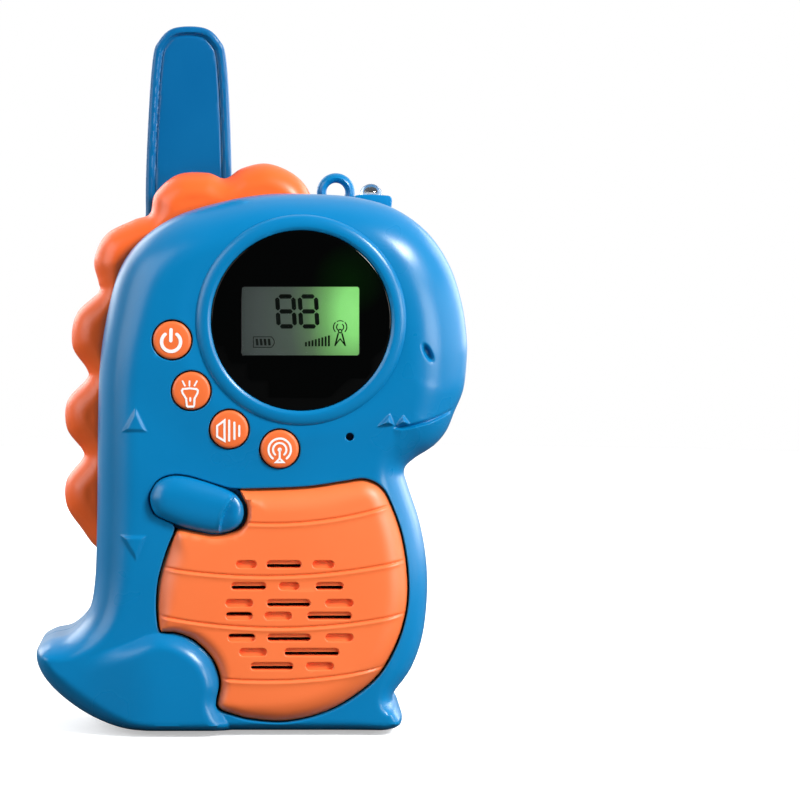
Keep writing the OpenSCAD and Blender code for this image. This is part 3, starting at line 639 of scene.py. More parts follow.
rear_shape = bmesh.new()
outer = relief(rear_shape, body_loop, rim_rings, rear_holes, 1.1 * mm, rear_height)
for ring in outer[1][1:]:
    cap(rear_shape, back_to(rear_shape, ring, well_floor))
shell(rear_shape, outer, [0], rear_side, rear_face - wall, [(door_gap, [(0, 0), (0.3 * mm, 0)])])
rear_case = piece(rear_shape, "rear_case", "case", case_blue)
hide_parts("rear_shell")

# Belly panel: orange moulding with five bands between shallow grooves. Some of its grille slots go
# right through to the loudspeaker, and the others are only sunk in its face.
belly_points = [
    [-7.3, 6.2, 2], [-3.4, 4.2, 3], [0.4, 3.3, 4], [7, 2.9, 5], [14.2, 4.4, 5], [20.5, 7.4, 5],
    [26.8, 12.6, 5], [30.9, 19.7, 5], [32.9, 27, 5], [33.1, 34, 5], [32, 41.8, 5], [30, 48, 4.5],
    [27.6, 52.6, 4], [24, 54.5, 4], [19.5, 54, 4.5], [12, 52.9, 5], [3.6, 52.5, 5], [-0.6, 52.4, 4],
    [-2.4, 52.2, 1.6], [-1.9, 50.6, 1], [-1.1, 48.9, 1], [-1.0, 46.9, 1], [-1.7, 44.9, 1],
    [-3.9, 43.2, 1], [-7.8, 42.6, 1], [-12.4, 43.4, 1], [-15.2, 43.8, 1], [-16.4, 42.8, 2],
    [-17.9, 39.4, 5], [-19.7, 33, 5], [-20.1, 27, 4], [-19.5, 22.5, 1.8], [-18.2, 21.9, 2],
    [-15.7, 21.7, 2.2], [-11.9, 20, 3], [-8.3, 16.3, 3], [-6.7, 11.6, 2.4],
]
belly_side = -14.4 * mm
belly_face = -18.2 * mm
# Lowest point [x, z] of each groove in mm, and how strongly it curves up.
grooves = [[4.2, 45.3, 0.0060], [3, 34.2, 0.0037], [5.5, 23.25, 0.0040], [3, 12, 0.0045]]
slot_height = 1.6
# Slots of the grille: [centre x, centre z, length in mm, 1 where it goes right through].
grille = [
    [-1.1, 36.7, 4.4, 0], [6.8, 36.7, 7.4, 1], [15.1, 36.7, 4.6, 0],
    [-0.6, 32.1, 7.4, 1], [7.9, 32.1, 4.3, 0], [16.4, 32.1, 5.9, 1],
    [-2.6, 28.5, 5.8, 0], [7.8, 28.5, 9.2, 1], [18.5, 28.5, 5.9, 0],
    [-2.6, 25.8, 5.7, 1], [5.6, 25.8, 5.8, 0], [16.4, 25.8, 9.4, 1],
    [-2.1, 21.2, 5.8, 1], [7.9, 21.2, 9.2, 1], [18.5, 21.2, 5.9, 0],
    [0.3, 18.1, 5.8, 0], [12.7, 18.1, 11.6, 1],
    [4.3, 15.1, 9, 1], [14.4, 15.1, 5.9, 0],
]
belly_orange = moulded("belly_orange", (1.0, 0.18, 0.036), (1.0, 0.26, 0.07), rough=0.48, specular=0.9)
belly_loop = smooth_loop(belly_points, 8)
belly_fence = fence(belly_loop)


def belly_height(x, z):
    """Depth y of the belly's crowned face, with its grooves and the soft swell below each."""
    fall = rolled(*belly_fence(x, z))
    X, Z = x / mm, z / mm
    crown = 0.7 * ease(1 - ((X - 7) / 34) ** 2 - ((Z - 28) / 34) ** 2)
    for low_x, low_z, curl in grooves:
        below = low_z + curl * (X - low_x) ** 2 - Z
        if abs(below) < 2:
            crown -= 0.34 * bell(below / 0.26) - 0.16 * bell((below - 0.55) / 0.4)
    return belly_side + (belly_face - belly_side) * fall - crown * fall * mm


def near_grooves(x, z):
    return any(abs(low_z + curl * (x / mm - low_x) ** 2 - z / mm) < 1.1 for low_x, low_z, curl in grooves)


def slot_loop(x, z, length, height, steps=8):
    """Upright slot with round ends as a loop, from sizes in mm."""
    radius = height / 2
    half = length / 2 - radius
    loop = []
    for side, first in ((1, -90), (-1, 90)):
        for s in range(steps + 1):
            a = math.radians(first + 180 * s / steps)
            loop.append(Vector((x + side * half + radius * math.cos(a), z + radius * math.sin(a), 1)) * mm)
    return loop


def below_face(depth):
    """Gives a function of x and z: a depth in mm under the belly's face."""
    return lambda x, z: belly_height(x, z) + depth * mm


belly_holes = [(slot_loop(x, z, length, slot_height), soft_lip(0.22 * mm, 3))
               for x, z, length, through in grille]
belly_shape = bmesh.new()
edge_ring, mouths = relief(belly_shape, belly_loop, rings_to(0.55, 8), belly_holes, 0.7 * mm,
                           belly_height, [near_grooves, near_grooves])
belly_back, belly_foot, foot_inside = -16.3 * mm, -12.6 * mm, -13.6 * mm
edge_ring = back_to(belly_shape, edge_ring, belly_foot)
edge_ring = sideways(belly_shape, edge_ring, moved_in(belly_loop, 1 * mm), belly_foot)
edge_ring = back_to(belly_shape, edge_ring, foot_inside)
deep_loop = smooth_loop([
    [-4, 10.5, 9], [7, 8.5, 9], [18, 11.5, 9], [25, 19, 9], [26.5, 30, 9], [24, 41, 9],
    [14, 46, 9], [5, 45.6, 9], [-3, 41, 9], [-9, 36, 9], [-12.5, 28, 9], [-9, 19.5, 9]], 8)
edge_borders = ring_edges(belly_shape, edge_ring)
deep_borders = ring_edges(belly_shape, new_ring(belly_shape, deep_loop, belly_back))
for ring, (x, z, length, through) in zip(mouths, grille):
    if through:
        # A ledge fills the upper half of each open slot, or the lower half of the two at the left.
        lift = 0.36 if x < -2 and z < 26 else -0.36
        ring = back_to(belly_shape, ring, below_face(0.7))
        half = slot_loop(x, z + lift, length - 0.1, slot_height / 2)
        ring = carry(belly_shape, ring, [(p.x, v.co.y, p.y) for p, v in zip(half, ring)])
        back_to(belly_shape, ring, belly_back)
    else:
        cap(belly_shape, back_to(belly_shape, ring, below_face(1.0)))
open_edges = [e for e in belly_shape.edges
              if len(e.link_faces) == 1 and abs(e.verts[0].co.y - belly_back) < 1e-6]
fill_flat(belly_shape, open_edges + deep_borders, 1)
bmesh.ops.bridge_loops(belly_shape, edges=edge_borders + deep_borders)
belly = piece(belly_shape, "belly", "case", belly_orange)
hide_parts("belly_panel")

# Talk arm: the blue push-to-talk switch, a stubby arm with its hand lying on the belly.
arm_points = [
    [-20.4, 47.4, 4.6], [-18.2, 46, 4.8], [-13.4, 44.2, 5], [-8, 43.2, 5], [-4.4, 43.7, 3.8],
    [-2.2, 45.4, 3.2], [-1.6, 47.7, 3.2], [-2.2, 50, 3.2], [-4.2, 51.8, 3.8],
    [-8, 53.4, 5], [-13.4, 55, 5], [-17, 55.2, 4.8], [-20, 53.8, 4.4], [-21.4, 50.6, 4.4],
]
arm_loop = smooth_loop(arm_points, 10)
arm_fence = fence(arm_loop)
wrist_top, wrist_foot = Vector((-3.2, 51.6)), Vector((-6.9, 42.8))
arm_side, arm_foot, arm_back = -17.0 * mm, -14.2 * mm, -13.2 * mm


def arm_height(x, z):
    """Depth y of the arm, which steps down at the wrist and swells again to the hand."""
    inside, edge = arm_fence(x, z)
    part = 1 - min(max(inside, 0) / edge, 1)
    fall = math.sqrt(1 - part ** 2.4)
    run = (wrist_top - wrist_foot).normalized()
    gap = Vector((x / mm, z / mm)) - wrist_foot
    beyond = gap.x * run.y - gap.y * run.x + 0.9 * math.sin(math.pi * gap.dot(run) / 9.5)
    lift = 0.2 * bell((beyond + 0.3) / 0.35) - 1.1 * ease((beyond + 0.1) / 0.4)
    lift += 0.45 * ease((beyond - 0.8) / 2.5)
    return arm_side - (2.6 + lift) * fall * mm


def near_wrist(x, z):
    return -10.5 < x / mm < -0.5


arm_shape = bmesh.new()
edge_ring, mouths = relief(arm_shape, arm_loop, rings_to(0.6, 9), [], 0.6 * mm, arm_height, [near_wrist])
edge_ring = back_to(arm_shape, edge_ring, arm_foot)
edge_ring = sideways(arm_shape, edge_ring, moved_in(arm_loop, -1 * mm), arm_foot)
cap(arm_shape, back_to(arm_shape, edge_ring, arm_back))
talk_arm = piece(arm_shape, "talk_arm", "talk_button", case_blue)
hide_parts("talk_button")

# Spike crest: soft orange moulding held between the two case halves. Each spike is a round roll
# about a hollowed middle, the same on both faces.
crest_points = [
    [-29, 58, 1], [-28.8, 76, 1], [-27.6, 88, 1], [-24.4, 98.6, 1], [-18, 105, 1],
    [-6, 108.6, 1], [12.4, 111, 0.8], [12.4, 115.4, 2], [9, 119.2, 4], [3.4, 121.4, 4],
    [-2, 120.4, 4], [-5.7, 118.2, 3], [-9.6, 119.4, 4], [-16, 119, 4], [-20.8, 115, 4],
    [-22, 110.6, 3], [-25.6, 109.2, 4], [-31.6, 106, 4], [-34.1, 100.5, 4], [-33.2, 95.8, 3],
    [-33.2, 93.6, 3], [-38, 88.8, 4], [-38.9, 82, 4], [-35.8, 77, 3], [-35.8, 74.8, 3],
    [-40, 70, 4], [-40.1, 64, 4], [-36.8, 59.4, 3], [-36.8, 57.4, 3], [-40.2, 52.8, 4],
    [-40.2, 47.2, 4], [-37, 42.2, 3], [-33.6, 38, 1.2], [-29.4, 37.4, 0.8],
]
spike_orange = moulded("spike_orange", (1.0, 0.135, 0.02), (1.0, 0.20, 0.045), rough=0.36)
crest_loop = smooth_loop(crest_points, 8)
crest_fence = fence(crest_loop)


def crest_half(x, z):
    """Half the crest's thickness in mm."""
    inside = max(crest_fence(x, z)[0], 0) / mm
    return 5.9 * rolled(inside, 5.4) - 0.7 * ease((inside - 4.5) / 4)


crest_shape = bmesh.new()
for side in (-1, 1):
    relief(crest_shape, crest_loop, rings_to(0.5, 8), [], 0.6 * mm,
           lambda x, z: parting_y + side * crest_half(x, z) * mm)
    bmesh.ops.remove_doubles(crest_shape, verts=crest_shape.verts[:], dist=1e-7)
crest = piece(crest_shape, "crest", "case", spike_orange, 50)
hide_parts("spike_crest")

# Antenna: a flat blue moulded blade with a raised round rim and a sunk panel on both faces. Its
# foot is held between the case halves.
blade_points = [
    [-22.2, 100, 2], [-5.4, 100, 2], [-4.4, 112, 2.4], [-4.6, 128, 2.4], [-5.5, 144, 2.4],
    [-7, 148.5, 2.4], [-10.4, 151.2, 2.4], [-16.8, 151.2, 2.4], [-20.2, 148.5, 2.4],
    [-21.7, 144, 2.4], [-22.8, 128, 2.4], [-23.2, 112, 2.4],
]
# Painted shade: the blade's blue is the case's blue made darker, for the shade it stands in at the back of
# the toy.
antenna_blue = moulded("antenna_blue", (0.0002, 0.115, 0.31), (0.001, 0.19, 0.45), rough=0.3, specular=0.4)
blade_loop = smooth_loop(blade_points, 10)
blade_fence = fence(blade_loop)


def blade_half(x, z):
    """Half the blade's thickness in mm."""
    inside = max(blade_fence(x, z)[0], 0) / mm
    panel = 0.6 * ease((inside - 1.3) / 0.45) + 0.28 * bell((inside - 2.05) / 0.24)
    return 2.6 + 0.9 * rolled(inside, 0.9) - panel


def near_rim(x, z):
    return 1.0 * mm < blade_fence(x, z)[0] < 2.7 * mm


blade_shape = bmesh.new()
blade_middle = 12.5
blade_sides = []
for side in (-1, 1):
    edge_ring, mouths = relief(blade_shape, blade_loop, rings_to(0.45, 6), [], 0.8 * mm,
                               lambda x, z: (blade_middle + side * blade_half(x, z)) * mm,
                               [near_rim, near_rim])
    blade_sides.append(edge_ring)
back_to(blade_shape, blade_sides[0], blade_sides[1][0].co.y)
blade = piece(blade_shape, "antenna", "case", antenna_blue, 50)
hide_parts("antenna_blade")

# Lanyard loop: a round blue moulded ring on a short stem. The stem is gripped between the two case
# halves.
def round_edges(bm, verts, radius, segments):
    """Rounds all the edges at some corners, by a radius in mm."""
    bmesh.ops.bevel(bm, geom=list({e for v in verts for e in v.link_edges}), offset=radius * mm,
                    segments=segments, profile=0.5, affect="EDGES", material=-1)


loop_x, loop_y, _ = middle_of("lanyard_loop")
loop_low, loop_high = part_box("lanyard_loop")
loop_outer = (loop_high.x - loop_low.x) / 2 / mm
loop_z = loop_high.z - loop_outer * mm
loop_hole = 2.05
loop_shape = bmesh.new()
bar_r, bar_y = (loop_outer - loop_hole) / 2, 1.5
bar_profile = []
for turn in range(0, 360, 15):
    a = math.radians(turn)
    fuller = 1 - 0.12 * abs(math.sin(2 * a))
    bar_profile.append([loop_hole + bar_r - bar_r * math.cos(a), loop_y / mm + bar_y * math.sin(a) * fuller])
lathe(loop_shape, bar_profile, loop_x, loop_z, 72, closed=True)
stem = bmesh.ops.create_cube(loop_shape, size=1)["verts"]
bmesh.ops.scale(loop_shape, vec=(4.2 * mm, 2.6 * mm, 5.4 * mm), verts=stem)
bmesh.ops.translate(loop_shape, vec=(loop_x, loop_y, loop_z - 5.6 * mm), verts=stem)
round_edges(loop_shape, stem, 0.4, 3)
lanyard = piece(loop_shape, "lanyard_ring", "case", case_blue, 50)
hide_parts("lanyard_loop")


# Torch: a clear round light emitting diode in epoxy, with its small metal cup inside. It stands in
# a blue moulded wedge on the head.
def clear_plastic(name, tint, rough):
    """Clear plastic with a trace of haze in its gloss."""
    material, tree, shader = start_finish(name, {
        "Base Color": (*tint, 1), "Transmission Weight": 1.0, "IOR": 1.46})
    place = add_node(tree, "TexCoord")
    haze = add_node(tree, "TexNoise", {"Scale": 900})
    spread = add_node(tree, "MapRange", {"To Min": rough, "To Max": rough + 0.04})
    wire(tree, (place, "Object", haze, "Vector"), (haze, "Fac", spread, "Value"),
         (spread, "Result", shader, "Roughness"))
    return material


def shaded(tree, stops):
    """A colour ramp with stops of (position, colour)."""
    ramp = add_node(tree, "ValToRGB")
    elements = ramp.color_ramp.elements
    for position, colour in stops[2:]:
        elements.new(position)
    for element, (position, colour) in zip(elements, stops):
        element.position = position
        element.color = (*colour, 1)
    return ramp


def metal(name, colour, rough):
    """Bare metal with fine clouds in its colour and gloss."""
    material, tree, shader = start_finish(name, {"Metallic": 1.0})
    place = add_node(tree, "TexCoord")
    streak = add_node(tree, "TexNoise", {"Scale": 500, "Detail": 4})
    tone = shaded(tree, [(0.3, [c * 0.72 for c in colour]), (0.7, colour)])
    spread = add_node(tree, "MapRange", {"To Min": rough - 0.08, "To Max": rough + 0.12})
    wire(tree, (place, "Object", streak, "Vector"), (streak, "Fac", tone, "Fac"),
         (tone, "Color", shader, "Base Color"), (streak, "Fac", spread, "Value"),
         (spread, "Result", shader, "Roughness"))
    return material


bright_steel = metal("bright_steel", (0.78, 0.79, 0.80), 0.28)
led_x, led_y, _ = middle_of("torch_led")
led_top, led_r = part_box("torch_led")[1].z / mm, 2.5
clear_lens = clear_plastic("clear_lens", (0.86, 0.91, 0.95), 0.0)


def upright_lathe(bm, profile, x, y, steps=64):
    """Turns a profile of [radius, z] in mm about an upright line."""
    verts = [bm.verts.new((x + r * mm, y, z * mm)) for r, z in profile]
    edges = [bm.edges.new(pair) for pair in zip(verts, verts[1:])]
    bmesh.ops.spin(bm, geom=verts + edges, cent=(x, y, 0), axis=(0, 0, 1), angle=2 * math.pi,
                   steps=steps, use_merge=True)
    bmesh.ops.remove_doubles(bm, verts=bm.verts[:], dist=1e-6)


led_shape = bmesh.new()
dome = [[led_r * math.cos(math.radians(a)), led_top - led_r + led_r * math.sin(math.radians(a))]
        for a in range(0, 91, 9)]
dome[-1][0] = 0
upright_lathe(led_shape, [[0, 107.6], [2.9, 107.6], [2.9, 108.6], [2.5, 108.7]] + dome, led_x, led_y)
led = piece(led_shape, "torch_lens", "case", clear_lens, 40)
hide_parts("torch_led")
cup_shape = bmesh.new()
upright_lathe(cup_shape, [[0, 108.4], [1.0, 108.4], [1.0, 112.6], [1.5, 113.6], [1.4, 113.65],
                          [0.7, 112.9], [0, 112.85]], led_x, led_y, 32)
piece(cup_shape, "torch_cup", "case", bright_steel)


def thicken(bm, faces, shift):
    """Gives flat faces a thickness: moves a copy of them, walls the sides, and gives its corners."""
    grown = bmesh.ops.extrude_face_region(bm, geom=faces)["geom"]
    far = [g for g in grown if isinstance(g, bmesh.types.BMVert)]
    bmesh.ops.translate(bm, vec=shift, verts=far)
    return far


def plate(bm, corners, front, back):
    """A flat block with an outline of [x, z] corners, between two depths, all in mm."""
    face = bm.faces.new([bm.verts.new((x * mm, front * mm, z * mm)) for x, z in corners])
    thicken(bm, [face], (0, (back - front) * mm, 0))


wedge_shape = bmesh.new()
plate(wedge_shape, [[22.2, 113.2], [30.2, 110.2], [30.5, 113.6], [30.3, 114.2], [29.8, 114.5],
                    [26.2, 114.75], [23.4, 114.7], [22.4, 114.5]], 2.7, 9.3)
bmesh.ops.bevel(wedge_shape, geom=wedge_shape.edges[:], offset=0.35 * mm, segments=3, profile=0.5,
                affect="EDGES", material=-1, clamp_overlap=True)
wedge = piece(wedge_shape, "torch_wedge", "case", case_blue, 50)
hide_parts("torch_bracket")

# Display window: a glossy black plate let into the surround and glued there, with a clear pane over
# the display. A little of the display's green light spreads in it at the upper right.
pane_loop = corner_loop([[-2.0, 80.7, 0.5], [22.6, 80.7, 0.5], [22.6, 95.1, 0.5], [-2.0, 95.1, 0.5]], 4)
plate_rim = round_loop(window_x, window_z, window_r, 128)
plate_back = -16.4 * mm


def plate_height(x, z):
    inside = window_r - math.hypot(x - window_x, z - window_z)
    return (-17.7 - 0.3 * rolled(inside, 0.3 * mm)) * mm


window_black, tree, shader = start_finish("window_black", {"Specular IOR Level": 0.22})
place = add_node(tree, "TexCoord")
haze = add_node(tree, "TexNoise", {"Scale": 60})
gloss = add_node(tree, "MapRange", {"To Min": 0.05, "To Max": 0.11})
away = add_node(tree, "VectorMath")
away.operation = "DISTANCE"
away.inputs[1].default_value = (20.5 * mm, -17.9 * mm, 96.5 * mm)
glow = shaded(tree, [(0.0, (0.0012, 0.0085, 0.0012)), (0.008, (0.0008, 0.0010, 0.0010))])
glow.color_ramp.interpolation = "EASE"
wire(tree, (place, "Object", haze, "Vector"), (place, "Object", away, 0),
     (away, "Value", glow, "Fac"), (glow, "Color", shader, "Base Color"),
     (haze, "Fac", gloss, "Value"), (gloss, "Result", shader, "Roughness"))

plate_shape = bmesh.new()
edge_ring, mouths = relief(plate_shape, plate_rim, [0.04 * mm, 0.12 * mm, 0.3 * mm],
                           [(pane_loop, soft_lip(0.12 * mm, 2))], 4 * mm, plate_height)
edge_ring = back_to(plate_shape, edge_ring, plate_back)
pane_ring = back_to(plate_shape, mouths[0], plate_back)
fill_flat(plate_shape, ring_edges(plate_shape, edge_ring) + ring_edges(plate_shape, pane_ring), 1)
window_plate = piece(plate_shape, "window_plate", "case", window_black, 50)
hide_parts("display_window")


def in_mm(loop):
    """A loop's points as [x, z] in mm."""
    return [(p.x / mm, p.y / mm) for p in loop]


pane_shape = bmesh.new()
plate(pane_shape, in_mm(moved_in(pane_loop, -0.01 * mm, 1)), -17.6, -16.9)
piece(pane_shape, "window_pane", "case", clear_lens, 30)

# Display: a liquid crystal panel with its backlight on at the right, which fades to grey at the
# left. Its black marks are two digits, a battery gauge, signal bars and a radio mast.
lcd_green, tree, shader = start_finish("lcd_green", {
    "Base Color": (0.012, 0.016, 0.012, 1), "Roughness": 0.5, "Emission Strength": 1.0})
lit_x, lit_z, lit_stretch = 21.6 * mm, 89.8 * mm, 0.62
place = add_node(tree, "TexCoord")
spot = add_node(tree, "Mapping", {
    "Location": (-lit_x, 0, -lit_z * lit_stretch), "Scale": (1.0, 0.0, lit_stretch)})
away = add_node(tree, "VectorMath")
away.operation = "LENGTH"
cells = add_node(tree, "MapRange", {"From Max": 25 * mm})
lit = shaded(tree, [
    (0.0, (0.34, 0.92, 0.24)), (0.12, (0.30, 0.84, 0.21)), (0.25, (0.17, 0.43, 0.115)),
    (0.40, (0.095, 0.165, 0.076)), (0.55, (0.068, 0.090, 0.066)), (0.8, (0.056, 0.066, 0.058)),
    (1.0, (0.038, 0.044, 0.040))])
wire(tree, (place, "Object", spot, "Vector"), (spot, "Vector", away, 0),
     (away, "Value", cells, "Value"), (cells, "Result", lit, "Fac"),
     (lit, "Color", shader, "Emission Color"))

lcd_low, lcd_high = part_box("lcd_panel")
lcd_face = lcd_low.y / mm
left, right, foot, head = lcd_low.x / mm, lcd_high.x / mm, lcd_low.z / mm, lcd_high.z / mm
panel_loop = corner_loop([[left, foot, 0.4], [right, foot, 0.4], [right, head, 0.4], [left, head, 0.4]], 3)
panel_shape = bmesh.new()
plate(panel_shape, in_mm(panel_loop), lcd_face + 0.15, lcd_high.y / mm)
lcd_glass = piece(panel_shape, "lcd_glass", "case", lcd_green, 30)
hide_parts("lcd_panel")


def ribbon(bm, path, width, front, back, closed=False):
    """A flat band along a path of [x, z] points in mm, with round ends unless it is closed."""
    points = [Vector(p) for p in path]
    count = len(points)
    left, right = [], []
    for i, p in enumerate(points):
        ahead = points[(i + 1) % count] - p if closed or i < count - 1 else p - points[i - 1]
        behind = p - points[i - 1] if closed or i > 0 else ahead
        ahead, behind = ahead.normalized(), behind.normalized()
        way = (ahead + behind).normalized()
        across = Vector((-way.y, way.x)) * width / 2 / max(way.dot(ahead), 0.35)
        left.append(p + across)
        right.append(p - across)
    lines = [[bm.verts.new((p.x * mm, front * mm, p.y * mm)) for p in side] for side in (left, right)]
    faces = []
    for i in range(count if closed else count - 1):
        j = (i + 1) % count
        faces.append(bm.faces.new((lines[0][i], lines[0][j], lines[1][j], lines[1][i])))
    if not closed:
        for end, sign in ((0, 1), (count - 1, -1)):
            spoke = left[end] - points[end]
            round_end = []
            for s in range(1, 6):
                turned = spoke.copy()
                turned.rotate(Matrix.Rotation(sign * math.pi * s / 6, 2))
                round_end.append(points[end] + turned)
            verts = [bm.verts.new((p.x * mm, front * mm, p.y * mm)) for p in round_end]
            faces.append(bm.faces.new([lines[0][end]] + verts + [lines[1][end]]))
    thicken(bm, faces, (0, (back - front) * mm, 0))


def arc(x, z, radius, first, last, steps=20):
    """Points in mm of an arc between two angles in degrees."""
    turns = [math.radians(first + (last - first) * s / steps) for s in range(steps + 1)]
    return [(x + radius * math.cos(a), z + radius * math.sin(a)) for a in turns]


mark_black = moulded("mark_black", (0.003, 0.006, 0.003), (0.006, 0.010, 0.006), rough=0.6, specular=0.1)
marks = bmesh.new()
mark_front, mark_back = lcd_face, lcd_face + 0.1
digit_low, digit_middle, digit_high = 86.75, 89.9, 93.05
digit_wide, digit_lean, bar = 3.4, -0.045, 0.92
for left in (5.55, 10.3):
    for low in (digit_low, digit_middle, digit_high):
        first = left + digit_lean * (low - digit_middle)
        last = first + digit_wide
        plate(marks, [(first + 0.28, low), (first + 0.62, low - bar / 2), (last - 0.62, low - bar / 2),
                      (last - 0.28, low), (last - 0.62, low + bar / 2), (first + 0.62, low + bar / 2)],
              mark_front, mark_back)
    for side in (left, left + digit_wide):
        for low, high in ((digit_low, digit_middle), (digit_middle, digit_high)):
            foot = side + digit_lean * (low - digit_middle)
            head = side + digit_lean * (high - digit_middle)
            plate(marks, [(foot, low + 0.18), (foot + bar / 2, low + 0.55),
                          (head + bar / 2, high - 0.55), (head, high - 0.18),
                          (head - bar / 2, high - 0.55), (foot - bar / 2, low + 0.55)],
                  mark_front, mark_back)
# Battery gauge, signal bars and mast.
ribbon(marks, [(0.4, 82.35), (4.2, 82.35)] + arc(3.7, 83.45, 1.1, -40, 40, 6) + [(4.2, 84.55), (0.4, 84.55)],
       0.16, mark_front, mark_back, closed=True)
for k in range(4):
    x = 1.0 + 0.85 * k
    plate(marks, [(x, 82.75), (x + 0.5, 82.75), (x + 0.34, 84.15), (x - 0.16, 84.15)], mark_front, mark_back)
for k in range(8):
    x, top = 11.25 + 0.69 * k, 83.45 + 0.2 * k
    plate(marks, [(x, 82.55), (x + 0.42, 82.55), (x + 0.42, top), (x, top)], mark_front, mark_back)
mast_x, mast_z = 18.65, 86.6
for side, middle in ((-1, 180), (1, 0)):
    ribbon(marks, [(mast_x + side * 1.05, 82.75), (mast_x + side * 0.42, 85.2)], 0.34, mark_front, mark_back)
    ribbon(marks, [(mast_x + side * 0.95, 82.9), (mast_x, 84.15)], 0.26, mark_front + 0.02, mark_back)
    for radius, spread in ((0.75, 50), (1.4, 42)):
        ribbon(marks, arc(mast_x, mast_z, radius, middle - spread, middle + spread, 8), 0.24,
               mark_front, mark_back)
ribbon(marks, arc(mast_x, 85.75, 0.36, 0, 330, 12), 0.26, mark_front + 0.01, mark_back)
ribbon(marks, arc(mast_x, mast_z, 1.35, 62, 118, 8), 0.2, mark_front + 0.01, mark_back)
piece(marks, "lcd_marks", "case", mark_black, 30)

# Front buttons: four round orange caps, each with a soft edge and a flange behind the case, and a
# white printed mark: power, torch, volume and signal.
button_orange = moulded("button_orange", (0.86, 0.155, 0.032), (1.0, 0.26, 0.08), rough=0.4, grain=0.7)
print_white = moulded("print_white", (0.86, 0.84, 0.84), (0.95, 0.95, 0.95), rough=0.5, grain=0.4)
button_profile = [
    [0, -17.98], [2.4, -17.96], [3.3, -17.9], [3.7, -17.8], [3.88, -17.66], [3.99, -17.45],
    [4.02, -17.1], [4.05, -16], [4.05, -14.7], [5, -14.7], [5, -13.6], [1.5, -13.6], [1.5, -10.9], [0, -10.9]]
ink_front, ink_back = -18.02, -17.85


def power_mark(bm, x, z):
    ribbon(bm, arc(x - 0.2, z - 0.35, 2.0, 128, 412, 36), 0.72, ink_front, ink_back)
    ribbon(bm, [(x - 0.2, z + 2.2), (x - 0.25, z - 0.1)], 0.72, ink_front, ink_back)


def torch_mark(bm, x, z):
    ribbon(bm, [(x + a, z + b) for a, b in (
        (-1.75, 0.4), (-0.3, 0.55), (1.15, 0.4), (1.4, 0.1), (1.35, -0.45), (0.7, -1.6), (0.62, -3.1),
        (0.45, -3.3), (-0.75, -3.3), (-0.92, -3.1), (-1.05, -1.6), (-1.8, -0.45), (-1.95, 0.1))],
           0.42, ink_front, ink_back, closed=True)
    for a, b in ((-1.8, 0.5), (-0.35, 0), (1.2, -0.5)):
        ribbon(bm, [(x + a + b, z + 1.1), (x + a, z + 2.05)], 0.36, ink_front, ink_back)
    ribbon(bm, [(x - 0.18, z - 1.5), (x - 0.2, z - 2.1)], 0.4, ink_front, ink_back)


def volume_mark(bm, x, z):
    ribbon(bm, [(x - 1.0, z + 1.9), (x - 2.55, z + 0.75), (x - 2.55, z - 1.5), (x - 1.0, z - 2.4)],
           0.44, ink_front, ink_back, closed=True)
    for a, low, high in ((-0.02, -2.35, 1.9), (1.08, -2.0, 1.45), (2.1, -1.35, 0.75)):
        ribbon(bm, [(x + a, z + low), (x + a, z + high)], 0.44, ink_front, ink_back)


def signal_mark(bm, x, z):
    ribbon(bm, arc(x, z - 0.1, 2.35, -52, 232, 36), 0.44, ink_front, ink_back)
    ribbon(bm, arc(x, z - 0.1, 1.4, -48, 228, 28), 0.42, ink_front, ink_back)
    ribbon(bm, arc(x, z - 0.1, 0.25, 0, 300, 10), 0.4, ink_front, ink_back)
    ribbon(bm, [(x, z - 0.2), (x, z - 1.9)], 0.42, ink_front + 0.01, ink_back)
    ribbon(bm, [(x, z - 1.95), (x + 0.8, z - 2.75), (x - 0.8, z - 2.75)], 0.38, ink_front + 0.02, ink_back,
           closed=True)


for name, draw in zip(button_names, (power_mark, torch_mark, volume_mark, signal_mark)):
    x, z = button_at[name]
    cap_shape = bmesh.new()
    lathe(cap_shape, button_profile, x, z, 72)
    button = piece(cap_shape, name + "_cap", name + "_button", button_orange, 50)
    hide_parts(name + "_button")
    ink = bmesh.new()
    draw(ink, x / mm, z / mm)
    piece(ink, name + "_mark", name + "_button", print_white, 30)

# Channel keys: two slim orange moulded keys, up over down, with three grip ribs each. They slide in
# slots in the left side of the rear case, where a flange keeps them in.
def soft_block(bm, low, high, radius, segments=4):
    """A block between two corners in mm, with all its edges rounded."""
    verts = bmesh.ops.create_cube(bm, size=1)["verts"]
    low, high = Vector(low) * mm, Vector(high) * mm
    bmesh.ops.scale(bm, vec=high - low, verts=verts)
    bmesh.ops.translate(bm, vec=(high + low) / 2, verts=verts)
    round_edges(bm, verts, radius, segments)


slots = bmesh.new()
for name in ("up", "down"):
    key_low, key_high = (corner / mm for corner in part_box(name + "_key"))
    _, depth, middle = (at / mm for at in middle_of(name + "_key"))
    key_shape = bmesh.new()
    soft_block(key_shape, (key_low.x, depth - 2.1, middle - 6), (-30.0, depth + 2.1, middle + 6), 0.8)
    soft_block(key_shape, (-30.6, key_low.y, key_low.z), (-28.85, key_high.y, key_high.z), 0.2, 2)
    for rib in (middle - 2, middle, middle + 2):
        soft_block(key_shape, (-33.7, depth - 1.2, rib - 0.3), (-33.1, depth + 1.2, rib + 0.3), 0.14, 2)
    key = piece(key_shape, name + "_key_cap", name + "_key", button_orange, 50)
    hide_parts(name + "_key")
    soft_block(slots, (-37, depth - 2.35, middle - 6.25), (-29.6, depth + 2.35, middle + 6.25), 0.9)
slot_mesh = bpy.data.meshes.new("slots")
slots.to_mesh(slot_mesh)
slots.free()
cutter = bpy.data.objects.new("slots", slot_mesh)
bpy.context.collection.objects.link(cutter)
carve = rear_case.modifiers.new("slots", "BOOLEAN")
carve.operation = "DIFFERENCE"
carve.solver = "EXACT"
carve.object = cutter
bpy.context.view_layer.update()
